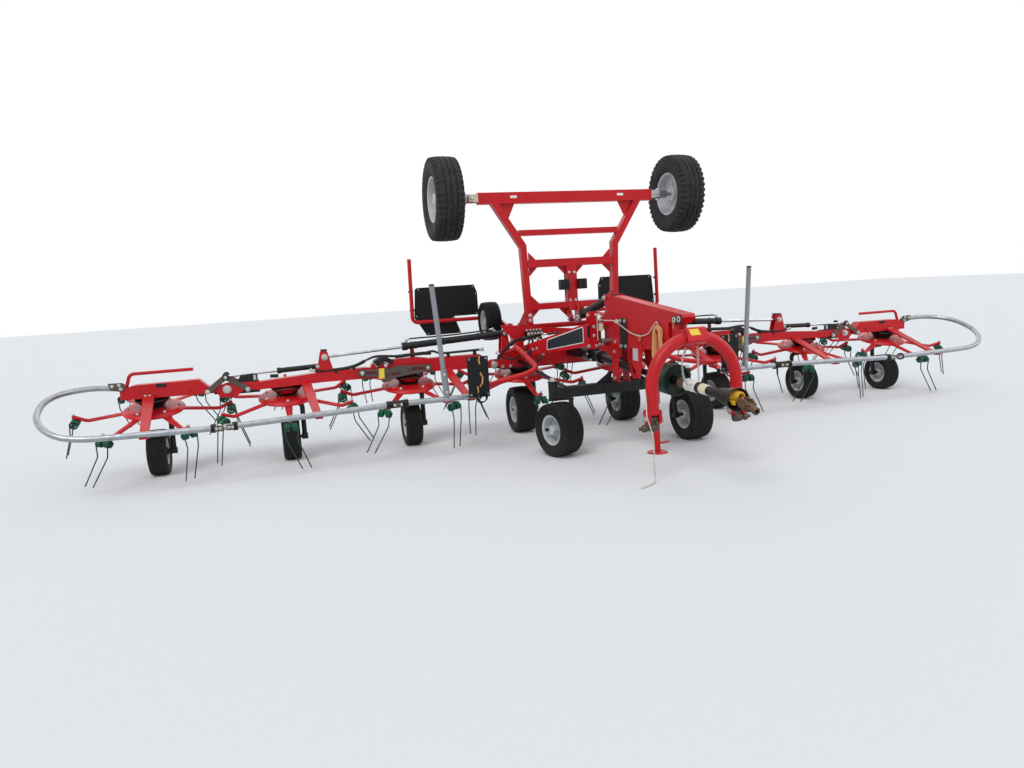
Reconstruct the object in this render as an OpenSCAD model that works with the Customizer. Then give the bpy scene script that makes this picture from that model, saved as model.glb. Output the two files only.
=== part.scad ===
// Eight-rotor mounted hay tedder with a raised transport axle, in millimetres.
// X runs across the machine (+X is its left when it drives off), Y runs to the
// rear and Z up. The ground is Z = 0 and the machine is symmetric about X = 0.

/* [Rotors] */
// Distance between neighbouring rotors
rotor_pitch = 1150; // [1120:5:1180]
// Height of the rotor plates above the ground
plate_z = 620; // [610:5:640]
// Forward tilt of the rotors in degrees
rotor_tilt = 12; // [10:1:13]
// Radius of the dished rotor plate
plate_r = 262; // [240:2:280]
// Thickness of the rotor plate
plate_t = 8; // [5:1:12]
// Tine arms on each rotor
arm_count = 6; // [5:1:6]
// Diameter of a tine arm
arm_d = 32; // [26:1:38]
// Radius of the tine coils' centres from the rotor's axis
coil_r = 645; // [630:5:660]
// Outer diameter of a tine coil
coil_d = 66; // [56:1:74]
// Diameter of the tine wire
tine_d = 10; // [8:0.5:12]
// Depth of the tine tips below the plate
tine_drop = 430; // [400:5:435]
// How far the tine tips lean outwards from the coils
tine_lean = 135; // [110:5:140]
// How far the tine tips trail the coils
tine_trail = 100; // [80:5:110]
// Diameter of the fixed column that the rotor turns on
column_d = 60; // [50:1:70]

/* [Wheels] */
// Diameter of the small wheels under rotors 1 to 3 and 6 to 8
small_d = 410; // [400:2:420]
// Width of the small wheels
small_w = 165; // [150:1:180]
// Diameter of the wheels under rotors 4 and 5 and of the front wheels
large_d = 470; // [460:2:480]
// Width of those wheels
large_w = 215; // [190:1:220]
// Diameter of the transport wheels
road_d = 800; // [770:5:820]
// Width of the transport wheels
road_w = 270; // [250:2:285]
// Diameter of the front wheels' kingpins
kingpin2_d = 40; // [34:1:44]
// Diameter of the wheel bores
bore_d = 31; // [26:1:40]

/* [Beams and hinges] */
// Centre of the beams behind the rotor line
beam_y = -50; // [-60:5:-40]
// Width of the beams from front to rear
beam_w = 120; // [100:2:130]
// Distance of the main fold hinge from the middle
fold_x = 870; // [860:2:880]
// Height of the main fold hinge
fold_z = 730; // [722:1:738]
// Distance of the contour joint from the middle
float_x = 1940; // [1920:5:1960]
// Distance of the outer fold hinge from the middle
tip_x = 3390; // [3380:2:3400]
// Height of the outer fold hinge
tip_z = 726; // [720:1:732]
// Thickness of the hinge plates
plate_thick = 14; // [10:1:16]
// Clear gap beside the tongue of a hinge
hinge_gap = 6; // [5:0.5:8]
// Diameter of the hinge pins
pin_d = 40; // [32:1:46]

/* [Transport frame] */
// Distance of the transport wheels' centres from the middle
road_x = 1265; // [1255:5:1280]
// Height of the raised transport axle
road_z = 2365; // [2330:5:2400]
// Centre of the raised frame behind the rotor line
frame_y = -100; // [-110:5:-90]
// Thickness of the frame's tubes from front to rear
frame_t = 80; // [70:2:90]
// Width of the frame's side members
member_w = 62; // [56:2:70]
// Hinge of the transport frame behind the rotor line
lift_y = 200; // [190:5:210]
// Height of the transport frame's hinge
lift_z = 1060; // [1050:5:1070]
// Diameter of the shaft that the transport frame turns on
lift_d = 56; // [50:1:60]

// Diameter of the marker tubes that carry the light boards
marker_d = 42; // [38:1:48]
// Marker tubes behind the rotor line
marker_y = 850; // [845:1:880]

/* [Drawbar] */
// Width of the tower
tower_w = 110; // [100:2:120]
// Headstock swivel ahead of the rotor line
swivel_y = -2255; // [-2265:5:-2245]
// Headstock arch ahead of the rotor line
arch_y = -2450; // [-2460:5:-2440]
// Radius of the headstock arch
arch_r = 355; // [345:1:365]
// Height of the arch's centre
arch_z = 690; // [680:2:700]
// Diameter of the arch tube
arch_d = 92; // [84:1:100]
// Diameter of the lower link pins
link_pin_d = 28; // [22:0.5:37]
// Free length of the lower link pins
link_pin_len = 84; // [70:1:100]
// Front wheel swivels from the middle
caster_x = 660; // [650:2:670]
// Front wheel swivels ahead of the rotor line
caster_y = -1200; // [-1210:2:-1195]
// Trail of the front wheels
caster_trail = 60; // [50:1:70]
// How far the front wheel at -X is turned, in degrees
caster_turn = 15; // [0:1:30]
// Parking jack from the middle
jack_x = 112; // [110:1:120]
// Parking jack ahead of the rotor line
jack_y = -1620; // [-1650:5:-1600]
// Diameter of the jack's foot
jack_foot_d = 180; // [160:2:200]

/* [Guards] */
// Diameter of the guard tubes
guard_d = 50; // [42:1:54]
// Guard tubes ahead of the rotor line
guard_y = -850; // [-870:5:-840]
// Height of the guard tubes
guard_z = 540; // [530:2:550]
// Reach of the outer guard loop from the middle
loop_x = 4830; // [4800:5:4850]

/* [Hidden] */

$fn = 48;
rotors = 8;
seat = 0.3;
lap = 1;

// The rotor line lies behind the middle of the machine's box, whose front is
// the drive shaft's yoke and whose rear is the light boards' rear face.
shaft_tip_y = -3215;
board_t = 14;
board_gap = 1;
board_back = marker_y + marker_d / 2 + board_gap + board_t;
line_y = -(shaft_tip_y + board_back) / 2;

function rotor_x(i) = (i - (rotors + 1) / 2) * rotor_pitch;
function wheel_d(i) = abs(rotor_x(i)) < rotor_pitch ? large_d : small_d;
function wheel_w(i) = abs(rotor_x(i)) < rotor_pitch ? large_w : small_w;
function unit(v) = v / norm(v);
function turn_at(p, i) = acos(unit(p[i] - p[i - 1]) * unit(p[i + 1] - p[i]));
function trim_at(p, i, bend) = (i == 0 || i == len(p) - 1) ? 0 : bend * tan(turn_at(p, i) / 2);

// Moves a piece from the rotor line's frame into the machine's frame
module at_line() {
    translate([0, line_y, 0]) children();
}

// Draws a piece made for the +X side on the side asked for
module on_side(s) {
    if (s > 0) children();
    else mirror([1, 0, 0]) children();
}

module both_sides() {
    children();
    mirror([1, 0, 0]) children();
}

// A round bar from a to b
module rod(a, b, d) {
    v = b - a;
    translate(a) rotate([0, acos(v[2] / norm(v)), atan2(v[1], v[0])])
        cylinder(h = norm(v), d = d);
}

// One round elbow of a tube run, at point i of the path
module elbow(p, i, d, bend) {
    u = unit(p[i] - p[i - 1]);
    v = unit(p[i + 1] - p[i]);
    c = p[i] + unit(v - u) * bend / cos(turn_at(p, i) / 2);
    x = unit(p[i] - u * trim_at(p, i, bend) - c);
    z = cross(x, u);
    multmatrix([[x[0], u[0], z[0], c[0]], [x[1], u[1], z[1], c[1]],
        [x[2], u[2], z[2], c[2]], [0, 0, 0, 1]])
        rotate_extrude(angle = turn_at(p, i)) translate([bend, 0]) circle(d = d + 2 * seat);
}

// A bent tube: straight lengths whose ends reach into slightly larger round
// elbows
module tube_run(p, d, bend) {
    n = len(p);
    for (i = [0 : n - 2]) {
        u = unit(p[i + 1] - p[i]);
        a = trim_at(p, i, bend) - (i == 0 ? 0 : lap);
        b = trim_at(p, i + 1, bend) - (i == n - 2 ? 0 : lap);
        rod(p[i] + u * a, p[i + 1] - u * b, d);
    }
    if (n > 2)
        for (i = [1 : n - 2]) elbow(p, i, d, bend);
}

// A plate in the XZ plane, centred on y, from an outline of [x, z] points
module plate_xz(points, y, t) {
    translate([0, y + t / 2, 0]) rotate([90, 0, 0]) linear_extrude(t) polygon(points);
}

// A plate in the YZ plane, centred on x, from an outline of [y, z] points
module plate_yz(points, x, t) {
    translate([x - t / 2, 0, 0]) rotate([90, 0, 90]) linear_extrude(t) polygon(points);
}

// A short round bar along Y, centred on y
module pin_y(x, z, y, len, d) {
    translate([x, y + len / 2, z]) rotate([90, 0, 0]) cylinder(h = len, d = d);
}

// A short round bar along X, centred on x
module pin_x(x, y, z, len, d) {
    translate([x - len / 2, y, z]) rotate([0, 90, 0]) cylinder(h = len, d = d);
}

// Wheels: the section is half of a tyre, its rim, disc and hub

function tyre_arc(r_in, r_out, w, n) = [for (k = [0 : n])
    let (t = -90 + 180 * k / n, s = sin(t), c = cos(t))
    [(r_in + (r_out - r_in) * pow(c, 0.45)), w / 2 * sign(s) * pow(abs(s), 0.75) *
        (1 - 0.16 * (1 - pow(c, 0.6)))]];

module wheel_body(d, w, rim_d, hub_d, hub_len, disc_x) {
    rim_w = w * 0.74;
    rotate([0, 90, 0]) difference() {
        union() {
            rotate_extrude() polygon(concat(
                [[rim_d / 2 - 12, rim_w / 2], [rim_d / 2 - 12, -rim_w / 2]],
                tyre_arc(rim_d / 2 + 6, d / 2, w, 14)));
            translate([0, 0, disc_x - 5]) cylinder(h = 10, d = rim_d - 20);
            translate([0, 0, -hub_len / 2]) cylinder(h = hub_len, d = hub_d);
        }
        translate([0, 0, -w]) cylinder(h = 2 * w, d = bore_d);
    }
}

small_rim = 0.53;
road_rim = 0.52;
hub_d = 84;

module rotor_wheel(i) {
    color("#202124") at_line() translate([rotor_x(i), 0, wheel_d(i) / 2])
        wheel_body(wheel_d(i), wheel_w(i), wheel_d(i) * small_rim, hub_d, wheel_w(i) - 40, 0);
}

function caster_angle(s) = s > 0 ? 0 : -caster_turn;

module at_caster(s) {
    at_line() translate([s * caster_x, caster_y, 0]) rotate([0, 0, caster_angle(s)])
        children();
}

module front_wheel(s) {
    color("#202124") at_caster(s) translate([0, -caster_trail, large_d / 2])
        wheel_body(large_d, large_w, large_d * small_rim, hub_d, large_w - 40, 0);
}

road_y = frame_y + 45;

module transport_wheel(s) {
    color("#202124") at_line() translate([s * road_x, road_y, road_z]) on_side(s)
        wheel_body(road_d, road_w, road_d * road_rim, 150, 120, -30);
}

// Rotors: dished plate, arms, coils and tines in one piece, turning on the
// gearbox column

coil_z = -88;
arm_dip_z = -74;
arm_top_z = -26;
coil_len = 34;
coil_gap = 30;
core_d = 40;
wire_r = coil_r + coil_d / 2 - tine_d / 2 - 1;
clamp_d = 22;
tine_spread = 38;

// One bent arm with its pair of coils and tines, whose tips trail to the side
// that hand says
module tine_arm(hand) {
    tube_run([[66, 0, -22], [coil_r - 100, 0, arm_dip_z], [coil_r + 14, 0, arm_top_z + 4]],
        arm_d, 90);
    translate([coil_r, 0, coil_z]) cylinder(h = arm_top_z - coil_z, d = clamp_d);
    pin_y(coil_r, coil_z, 0, coil_gap + 2 * coil_len + 8, core_d);
    for (s = [-1, 1]) {
        pin_y(coil_r, coil_z, s * (coil_gap + coil_len) / 2, coil_len, coil_d);
        wire_y = s * (coil_gap / 2 + coil_len - tine_d / 2 - 2);
        tube_run([[wire_r, wire_y, coil_z], [wire_r + 14, wire_y, coil_z - 105],
            [coil_r + tine_lean, s * tine_spread + hand * tine_trail, -tine_drop]], tine_d, 60);
    }
}

module rotor(i) {
    phase = (i % 2 == 0) ? 180 / arm_count : 0;
    hand = (i % 2 == 0) ? 1 : -1;
    color("#c8161d") at_line() translate([rotor_x(i), 0, plate_z]) rotate([rotor_tilt, 0, 0])
        rotate([0, 0, phase]) {
            rotate_extrude() polygon([[column_d / 2 + seat, -46], [74, -46], [80, -14],
                [plate_r - 40, -plate_t], [plate_r - 12, -34], [plate_r, -34],
                [plate_r - 6, -22], [plate_r - 36, 0], [78, 0], [70, 18],
                [column_d / 2 + seat, 18]]);
            for (k = [0 : arm_count - 1]) rotate([0, 0, k * 360 / arm_count])
                tine_arm(hand);
        }
}

// The bevel gearbox above a rotor, its fixed column and the wheel's bent leg

box_d = 168;
bowl_low_d = 190;
bowl_top_d = 290;
bowl_h = 62;
leg_d = 45;

module rotor_carrier(i) {
    x = abs(rotor_x(i));
    r = wheel_d(i) / 2;
    off = wheel_w(i) / 2 + 42;
    foot_y = 70 * sin(rotor_tilt);
    foot_z = plate_z - 70 * cos(rotor_tilt);
    translate([x, 0, plate_z]) rotate([rotor_tilt, 0, 0]) {
        translate([0, 0, 20]) cylinder(h = bowl_h, d1 = bowl_low_d, d2 = bowl_top_d);
        translate([0, 0, 40]) cylinder(h = 72, d = box_d);
        translate([0, 0, -64]) cylinder(h = 120, d = column_d);
        translate([0, 0, -86]) cylinder(h = 26, d = 120);
    }
    tube_run([[x + 10, foot_y, foot_z - 22], [x - off, foot_y, foot_z - 28],
        [x - off, 0, r]], leg_d, 48);
    rod([x - off - leg_d / 2, 0, r], [x + wheel_w(i) / 2 - 10, 0, r], bore_d - 2 * seat);
    pin_x(x - off, 0, r, leg_d + 12, 58);
}

// Hinges between beam sections: two outer plates on one side, a tongue on the
// other, about a pin along Y

fork_out = beam_w / 2;
beam_front = beam_y - beam_w / 2;
tongue_w = beam_w - 2 * plate_thick - 2 * hinge_gap;

module fork_plates(x, z, root, r) {
    for (s = [-1, 1]) difference() {
        union() {
            pin_y(x, z, beam_y + s * (fork_out - plate_thick / 2), plate_thick, 2 * r);
            plate_xz([[x, z - r], [root, z - r], [root, z + r], [x, z + r]],
                beam_y + s * (fork_out - plate_thick / 2), plate_thick);
        }
        pin_y(x, z, beam_y, 2 * beam_w, pin_d + 2 * seat);
    }
}

module tongue(x, z, root, r) {
    pin_y(x, z, beam_y, tongue_w, 2 * r);
    plate_xz([[x, z - r], [root, z - r], [root, z + r], [x, z + r]], beam_y, tongue_w);
    pin_y(x, z, beam_y, beam_w + 16, pin_d);
}

hinge_r = 42;

// Sections of beam that step from the middle outwards

centre_end = fold_x - 72;
wing_start = fold_x + 82;
wing_end = tip_x - 220;
outer_start = tip_x + 112;
outer_end = rotor_x(rotors) + 240;

base_x = 740;
base_z = 1030;
post_x = 2510;
post_z = 942;
lift_side_x = 585;

module centre_beam() {
    color("#c8161d") at_line() {
        plate_xz([[-centre_end, 672], [centre_end, 672], [centre_end, 846],
            [470, 890], [-470, 890], [-centre_end, 846]], beam_y, beam_w);
        both_sides() {
            rotor_carrier(5);
            difference() {
                plate_yz([[beam_y - 60, 845], [beam_y + 60, 820], [lift_y + 62, lift_z - 40],
                    [lift_y + 62, lift_z + 52], [lift_y - 52, lift_z + 52], [beam_y - 40, 930]],
                    lift_side_x, side_t);
                pin_x(lift_side_x, lift_y, lift_z, 3 * side_t, lift_d + 2 * seat);
            }
            fork_plates(fold_x, fold_z, centre_end - 2, hinge_r);
            for (s = [-1, 1])
                plate_xz([[base_x - 52, 840], [base_x + 46, 840], [base_x + 30, base_z + 26],
                    [base_x - 30, base_z + 26]], beam_y + s * 46, 12);
            pin_y(base_x, base_z, beam_y, 112, 24);
            tube_run([[728, beam_y - 20, 820], [716, -400, 905], [664, guard_y, 735],
                [800, guard_y, 690], [1165, guard_y, 622]], 48, 70);
            plate_xz([[1120, 590], [1205, 560], [1205, 640], [1120, 650]], guard_y, 14);
        }
    }
}

module wing_beam(s) {
    color("#c8161d") at_line() on_side(s) {
        plate_xz([[wing_start, 708], [float_x - 150, 722], [float_x - 90, 712],
            [float_x - 90, 806], [float_x - 240, 845], [wing_start + 60, 845],
            [wing_start, 800]], beam_y, beam_w);
        tongue(fold_x, fold_z, wing_start + 1, 34);
        plate_xz([[float_x + 90, 704], [post_x, 710], [wing_end, 694], [wing_end, 706],
            [wing_end - 40, 766], [post_x + 90, 800], [float_x + 200, 812], [float_x + 90, 792]],
            beam_y, beam_w);
        for (k = [-1, 1]) {
            plate_xz([[float_x - 220, 716], [float_x + 170, 722], [float_x + 170, 786],
                [float_x - 220, 792]], beam_y + k * (beam_w / 2 + 8), 16);
            plate_xz([[post_x - 80, 780], [post_x + 84, 780], [post_x + 34, 990],
                [post_x + 8, 1008], [post_x - 30, 990]], beam_y + k * 40, 14);
        }
        plate_xz([[float_x - 430, 744], [float_x + 275, 736], [float_x + 275, 762],
            [float_x - 430, 792]], beam_y - beam_w / 2 - 22, 12);
        pin_y(float_x, 745, beam_y, beam_w + 62, 60);
        for (x = [float_x - 223, float_x + 227]) pin_y(x, 754, beam_y, beam_w + 72, 30);
        fork_plates(tip_x, tip_z, wing_end - 60, 50);
        guard_arm([1360, 722], [1310, wing_guard_z(1310)], 90);
        guard_arm([2700, 718], [2640, wing_guard_z(2640 + 30)], 90);
        rotor_carrier(6);
        rotor_carrier(7);
        for (k = [-1, 1]) plate_xz([[barrel2_x - 20, 770], [barrel2_x + 22, 770],
            [barrel2_x + 22, barrel2_z + 20], [barrel2_x - 20, barrel2_z + 20]], beam_y + k * 32, 10);
        pin_y(barrel2_x, barrel2_z, beam_y, 84, 16);
        pin_y(rock_x, rock_z, beam_y, 2 * rocker_y + link_t + 12, 24);
        plate_xz([[1636, 780], [1690, 780], [1684, 1008], [1670, 1022], [1654, 1016]],
            beam_y + beam_w / 2 - 8, 12);
    }
}

// A flat tapered arm from [x, z] on the beam's front to the guard tube's
// underside, where it carries the tube at [x, z]
module guard_arm(a, b, w) {
    under = b[1] - guard_d / 2 - seat;
    intersection() {
        plate_yz([[beam_front, a[1] - 8], [beam_front, a[1] + 14], [guard_y + 40, under + 12],
            [guard_y + 28, under], [guard_y - 14, under], [guard_y - 14, under - 10],
            [guard_y + 36, under - 10]], b[0], 400);
        translate([0, 0, guard_z / 2]) linear_extrude(guard_z) polygon([[a[0] - w / 2, beam_front],
            [a[0] + w / 2, beam_front], [b[0] + w / 3, guard_y - 14], [b[0] - w / 3, guard_y - 14]]);
    }
}

module outer_beam(s) {
    color("#c8161d") at_line() on_side(s) {
        plate_xz([[outer_start, 702], [outer_end, 712], [outer_end, 800], [outer_end - 120, 832],
            [outer_start + 115, 836], [outer_start + 45, 766], [outer_start, 766]], beam_y, beam_w);
        tongue(tip_x, tip_z, outer_start + 1, 40);
        guard_arm([outer_end - 225, 726], [outer_end - 265, outer_guard_z(outer_end - 297)], 96);
        rotor_carrier(8);
        pin_y(link_x, link_z, beam_y, 2 * link_y + link_t + 12, 22);
        tube_run([[3660, beam_y, 930], [outer_end - 85, beam_y, 930], [outer_end - 40, beam_y, 790]],
            30, 50);
    }
}

// Guards

guard_in_x = 1235;
guard_knee_x = float_x + 38;
guard_drop = 45;
loop_knee_x = 4420;
loop_rise = 14;

function wing_guard_z(x) = x < guard_knee_x ? guard_z :
    guard_z - guard_drop * (x - guard_knee_x) / (tip_x + 10 - guard_knee_x);
function outer_guard_z(x) = guard_z - guard_drop + loop_rise * (x - tip_x - 50) /
    (loop_knee_x - tip_x - 50);

module wing_guard(s) {
    color("#aeb3b6") at_line() on_side(s) {
        tube_run([[guard_in_x, guard_y, guard_z], [guard_knee_x, guard_y, guard_z],
            [tip_x + 10, guard_y, guard_z - guard_drop]], guard_d, 60);
        rod([float_x - 30, guard_y, guard_z], [float_x + 100, guard_y, wing_guard_z(float_x + 100)],
            guard_d + 14);
        rod([1530, guard_y, guard_z], [1600, guard_y, 1545], 45);
        rod([1530, guard_y, guard_z], [1548, guard_y, 800], 56);
        translate([1175, guard_y - 140, 545]) cube([190, 10, 360]);
        translate([1245, guard_y - 135, guard_z + 2]) cube([60, 130, 12]);
    }
}

module outer_guard(s) {
    z0 = guard_z - guard_drop;
    x1 = loop_x - guard_d / 2;
    color("#aeb3b6") at_line() on_side(s) {
        tube_run([[tip_x + 50, guard_y, z0], [loop_knee_x, guard_y, z0 + loop_rise],
            [x1, guard_y + 290, z0 + 156], [x1, guard_y + 600, 800], [outer_end + 70, beam_y, 800],
            [outer_end + 15, beam_y, 775]], guard_d, 130);
        plate_xz([[outer_end, 716], [outer_end + 12, 716], [outer_end + 12, 830], [outer_end, 830]],
            beam_y, 96);
    }
}

// Fold cylinders. The barrel is bored for the rod.

module barrel(a, b, d, bore, depth) {
    v = b - a;
    difference() {
        union() {
            rod(a, b, d);
            rod(b - unit(v) * 50, b, d + 14);
        }
        rod(b - unit(v) * depth, b + unit(v) * 5, bore);
        pin_y(a[0], a[2], a[1], 2 * d, 24 + 2 * seat);
    }
}

wing_bore = 36;
eye_d = 56;
wing_eye = [post_x, beam_y, post_z];
wing_foot = [base_x, beam_y, base_z];
wing_mouth = wing_foot + unit(wing_eye - wing_foot) * 1030;

module wing_barrel(s) {
    color("#17181a") at_line() on_side(s) difference() {
        union() {
            barrel(wing_foot, wing_mouth, 66, wing_bore, 460);
            pin_y(base_x, base_z, beam_y, 60, 70);
        }
        pin_y(base_x, base_z, beam_y, 90, 24 + 2 * seat);
    }
}

module wing_rod(s) {
    u = unit(wing_eye - wing_foot);
    color("#9ea3a7") at_line() on_side(s) difference() {
        union() {
            rod(wing_mouth - u * 150, wing_eye, wing_bore - 2 * seat);
            pin_y(post_x, post_z, beam_y, 50, eye_d);
        }
        pin_y(post_x, post_z, beam_y, 70, 26);
    }
}

barrel2_x = 2580;
barrel2_z = 860;
rock_x = tip_x - 177;
rock_z = 711;
joint_x = tip_x + 2;
joint_z = 836;
link_x = tip_x + 164;
link_z = 719;
outer_bore = 26;
outer_foot = [barrel2_x, beam_y, barrel2_z];
outer_eye = [joint_x, beam_y, joint_z];
outer_mouth = outer_foot + unit(outer_eye - outer_foot) * 365;

module outer_barrel(s) {
    u = unit(outer_eye - outer_foot);
    color("#17181a") at_line() on_side(s) difference() {
        union() {
            rod(outer_foot, outer_mouth, 48);
            rod(outer_mouth - u * 34, outer_mouth, 56);
        }
        rod(outer_mouth - u * 290, outer_mouth + u * 5, outer_bore);
        pin_y(barrel2_x, barrel2_z, beam_y, 90, 16 + 2 * seat);
    }
}

module outer_rod(s) {
    color("#9ea3a7") at_line() on_side(s) difference() {
        union() {
            rod(outer_mouth - unit(outer_eye - outer_foot) * 70, outer_eye, outer_bore - 2 * seat);
            pin_y(joint_x, joint_z, beam_y, 26, 44);
        }
        pin_y(joint_x, joint_z, beam_y, 40, 22);
    }
}

// A flat link with round ends between two pins along Y
module link_plate(a, b, y, t, d) {
    v = b - a;
    u = unit([v[0], 0, v[2]]);
    n = [-u[2], 0, u[0]] * d / 2;
    pin_y(a[0], a[2], y, t, d);
    pin_y(b[0], b[2], y, t, d);
    plate_xz([[a[0] + n[0], a[2] + n[2]], [b[0] + n[0], b[2] + n[2]],
        [b[0] - n[0], b[2] - n[2]], [a[0] - n[0], a[2] - n[2]]], y, t);
}

link_t = 10;
rocker_y = beam_w / 2 + 3 + link_t / 2;
link_y = rocker_y + link_t + 3;
brace_at = 0.75;

module rocker(s) {
    color("#6b5a4c") at_line() on_side(s) difference() {
        union() {
            for (k = [-1, 1]) link_plate([rock_x, 0, rock_z], [joint_x, 0, joint_z],
                beam_y + k * rocker_y, link_t, 46);
            pin_y(rock_x + brace_at * (joint_x - rock_x), rock_z + brace_at * (joint_z - rock_z),
                beam_y, 2 * rocker_y, 22);
        }
        pin_y(rock_x, rock_z, beam_y, 3 * rocker_y, 24 + 2 * seat);
    }
}

module link(s) {
    color("#6b5a4c") at_line() on_side(s) difference() {
        union() {
            for (k = [-1, 1]) link_plate([joint_x, 0, joint_z], [link_x, 0, link_z],
                beam_y + k * link_y, link_t, 44);
        }
        pin_y(link_x, link_z, beam_y, 3 * link_y, 22 + 2 * seat);
        pin_y(joint_x, joint_z, beam_y, 3 * link_y, 26);
    }
}

// Transport frame, raised above the rotors

member_low = 470;
member_bend = 500;
bend_z = 1880;
member_top = 770;

module frame_bar(z, h, half) {
    translate([-half, frame_y - frame_t / 2, z - h / 2]) cube([2 * half, frame_t, h]);
}

module gusset(x, z, dx, dz) {
    plate_xz([[x, z], [x + dx, z], [x, z + dz]], frame_y, 12);
}

module transport_frame() {
    m = member_w / 2;
    color("#c8161d") at_line() {
        frame_bar(road_z - 10, 110, 935);
        both_sides() {
            plate_xz([[member_low - m, 1090], [member_low + m, 1090], [member_bend + m, bend_z - 14],
                [member_top + m + 8, road_z - 60], [member_top - m - 8, road_z - 60],
                [member_bend - m, bend_z + 14]], frame_y, frame_t);
            gusset(member_top - 50, road_z - 64, -190, -1);
            plate_xz([[member_top - 40, road_z - 64], [560, road_z - 64], [610, road_z - 170],
                [630, road_z - 210]], frame_y, 14);
            plate_xz([[member_top + 40, road_z - 64], [member_top + 120, road_z - 64],
                [700, road_z - 230], [690, road_z - 250]], frame_y, 14);
            for (z = [1700, 1275]) {
                gusset(member_low - m + 4, z + 30, -90, 90);
                gusset(member_low - m + 4, z - 30, -90, -90);
                gusset(55, z - 30, 90, -90);
            }
            translate([930, road_y - 50, road_z - 45]) cube([130, 60, 80]);
            pin_x(1150, road_y, road_z, 340, bore_d - 2 * seat);
            pin_x(1095, road_y, road_z, 110, 74);
            plate_yz([[frame_y - frame_t / 2, 1090], [frame_y + frame_t / 2, 1090 + 200],
                [frame_y - frame_t / 2, 1290]], member_low, 20);
            difference() {
                union() {
                    plate_yz([[frame_y - frame_t / 2, 1050], [lift_y, lift_z - 48],
                        [lift_y, lift_z + 48], [frame_y + frame_t / 2, 1270],
                        [frame_y - frame_t / 2, 1270]], member_low, 30);
                    pin_x(member_low, lift_y, lift_z, 44, 96);
                }
                pin_x(member_low, lift_y, lift_z, 80, lift_d + 2 * seat);
            }
        }
        frame_bar(2012, 56, member_bend + 35);
        frame_bar(1705, 76, member_bend - 6);
        frame_bar(1275, 64, member_low);
        translate([-55, frame_y - frame_t / 2, 1215]) cube([110, frame_t, 500]);
        for (s = [-1, 1]) {
            plate_yz([[frame_y + 20, 1150], [eye_y - 34, eye_z - 32], [eye_y - 34, eye_z + 34],
                [frame_y - 34, 1300], [frame_y + 20, 1300]], s * 42, 14);
            pin_x(s * 49, eye_y, eye_z, 28, 46);
            translate([s > 0 ? 50 : -142, frame_y - frame_t / 2 - 50, 1430])
                cube([92, 70, 100]);
        }
    }
}

// Lift cylinder from the tower's head to the frame's foot

head_y = -1055;
head_z = 1338;
eye_y = -172;
eye_z = 1130;
lift_head = [0, head_y, head_z];
lift_eye = [0, eye_y, eye_z];
lift_mouth = lift_head + unit(lift_eye - lift_head) * 690;
lift_bore = 46;

module lift_barrel() {
    u = unit(lift_eye - lift_head);
    color("#17181a") at_line() difference() {
        union() {
            rod(lift_head, lift_mouth, 80);
            rod(lift_mouth - u * 60, lift_mouth, 96);
            pin_x(0, head_y, head_z, 56, 84);
        }
        rod(lift_mouth - u * 655, lift_mouth + u * 5, lift_bore);
        pin_x(0, head_y, head_z, 120, 30 + 2 * seat);
    }
}

module lift_rod() {
    u = unit(lift_eye - lift_head);
    color("#9ea3a7") at_line() difference() {
        union() {
            rod(lift_mouth - u * 640, lift_eye, lift_bore - 2 * seat);
            pin_x(0, eye_y, eye_z, 60, 66);
        }
        pin_x(0, eye_y, eye_z, 120, 32);
    }
}

// Tower with its rear head, kingpin and jack sleeve

jack_d = 56;
sleeve_d = 74;
kingpin_d = 50;
hub_low = 985;
hub_high = 1128;

module tower() {
    h = tower_w / 2;
    color("#c8161d") at_line() {
        plate_yz([[-1000, 905], [-1000, 1190], [-1120, 1240], [-1190, 1357], [-2385, 1212],
            [-2400, 1190], [-2370, 1146], [-2180, 1146], [-2180, hub_low - 16],
            [-2330, hub_low - 16], [-2330, 945], [-2215, 930], [-1360, 905]], 0, tower_w);
        for (s = [-1, 1]) plate_yz([[-1120, 1200], [-1020, 1280], [-1012, 1372], [-1190, 1372]],
            s * (h - 6), 12);
        pin_x(0, head_y, head_z, tower_w + 20, 30);
        translate([0, swivel_y, 950]) cylinder(h = 230, d = kingpin_d);
        difference() {
            union() {
                translate([jack_x, jack_y, 430]) cylinder(h = 520, d = sleeve_d);
                translate([0, jack_y - 30, 905]) cube([jack_x, 60, 40]);
            }
            translate([jack_x, jack_y, 400]) cylinder(h = 520, d = jack_d + 2 * seat);
        }
        difference() {
            plate_xz([[-52, 912], [52, 912], [52, 690], [26, 642], [-26, 642], [-52, 690]], -1501, 12);
            translate([0, -1480, drive_z - 0.5]) rotate([90, 0, 0]) cylinder(h = 50, d = 59);
        }
    }
}

module jack() {
    color("#c8161d") at_line() translate([jack_x, jack_y, 0]) {
        cylinder(h = 610, d = jack_d);
        cylinder(h = 10, d1 = jack_foot_d, d2 = jack_foot_d - 20);
        rod([0, 0, 78], [100, -30, 92], 16);
    }
}

// Drawbar arms, braced between the tower and the centre beam, with the cross
// plate on their rear ends

arm_in = [175, -1040];
arm_out = [610, -150];
cross_t = 14;
cross_y = frame_y - frame_t / 2 - 8 - cross_t / 2;

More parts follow.
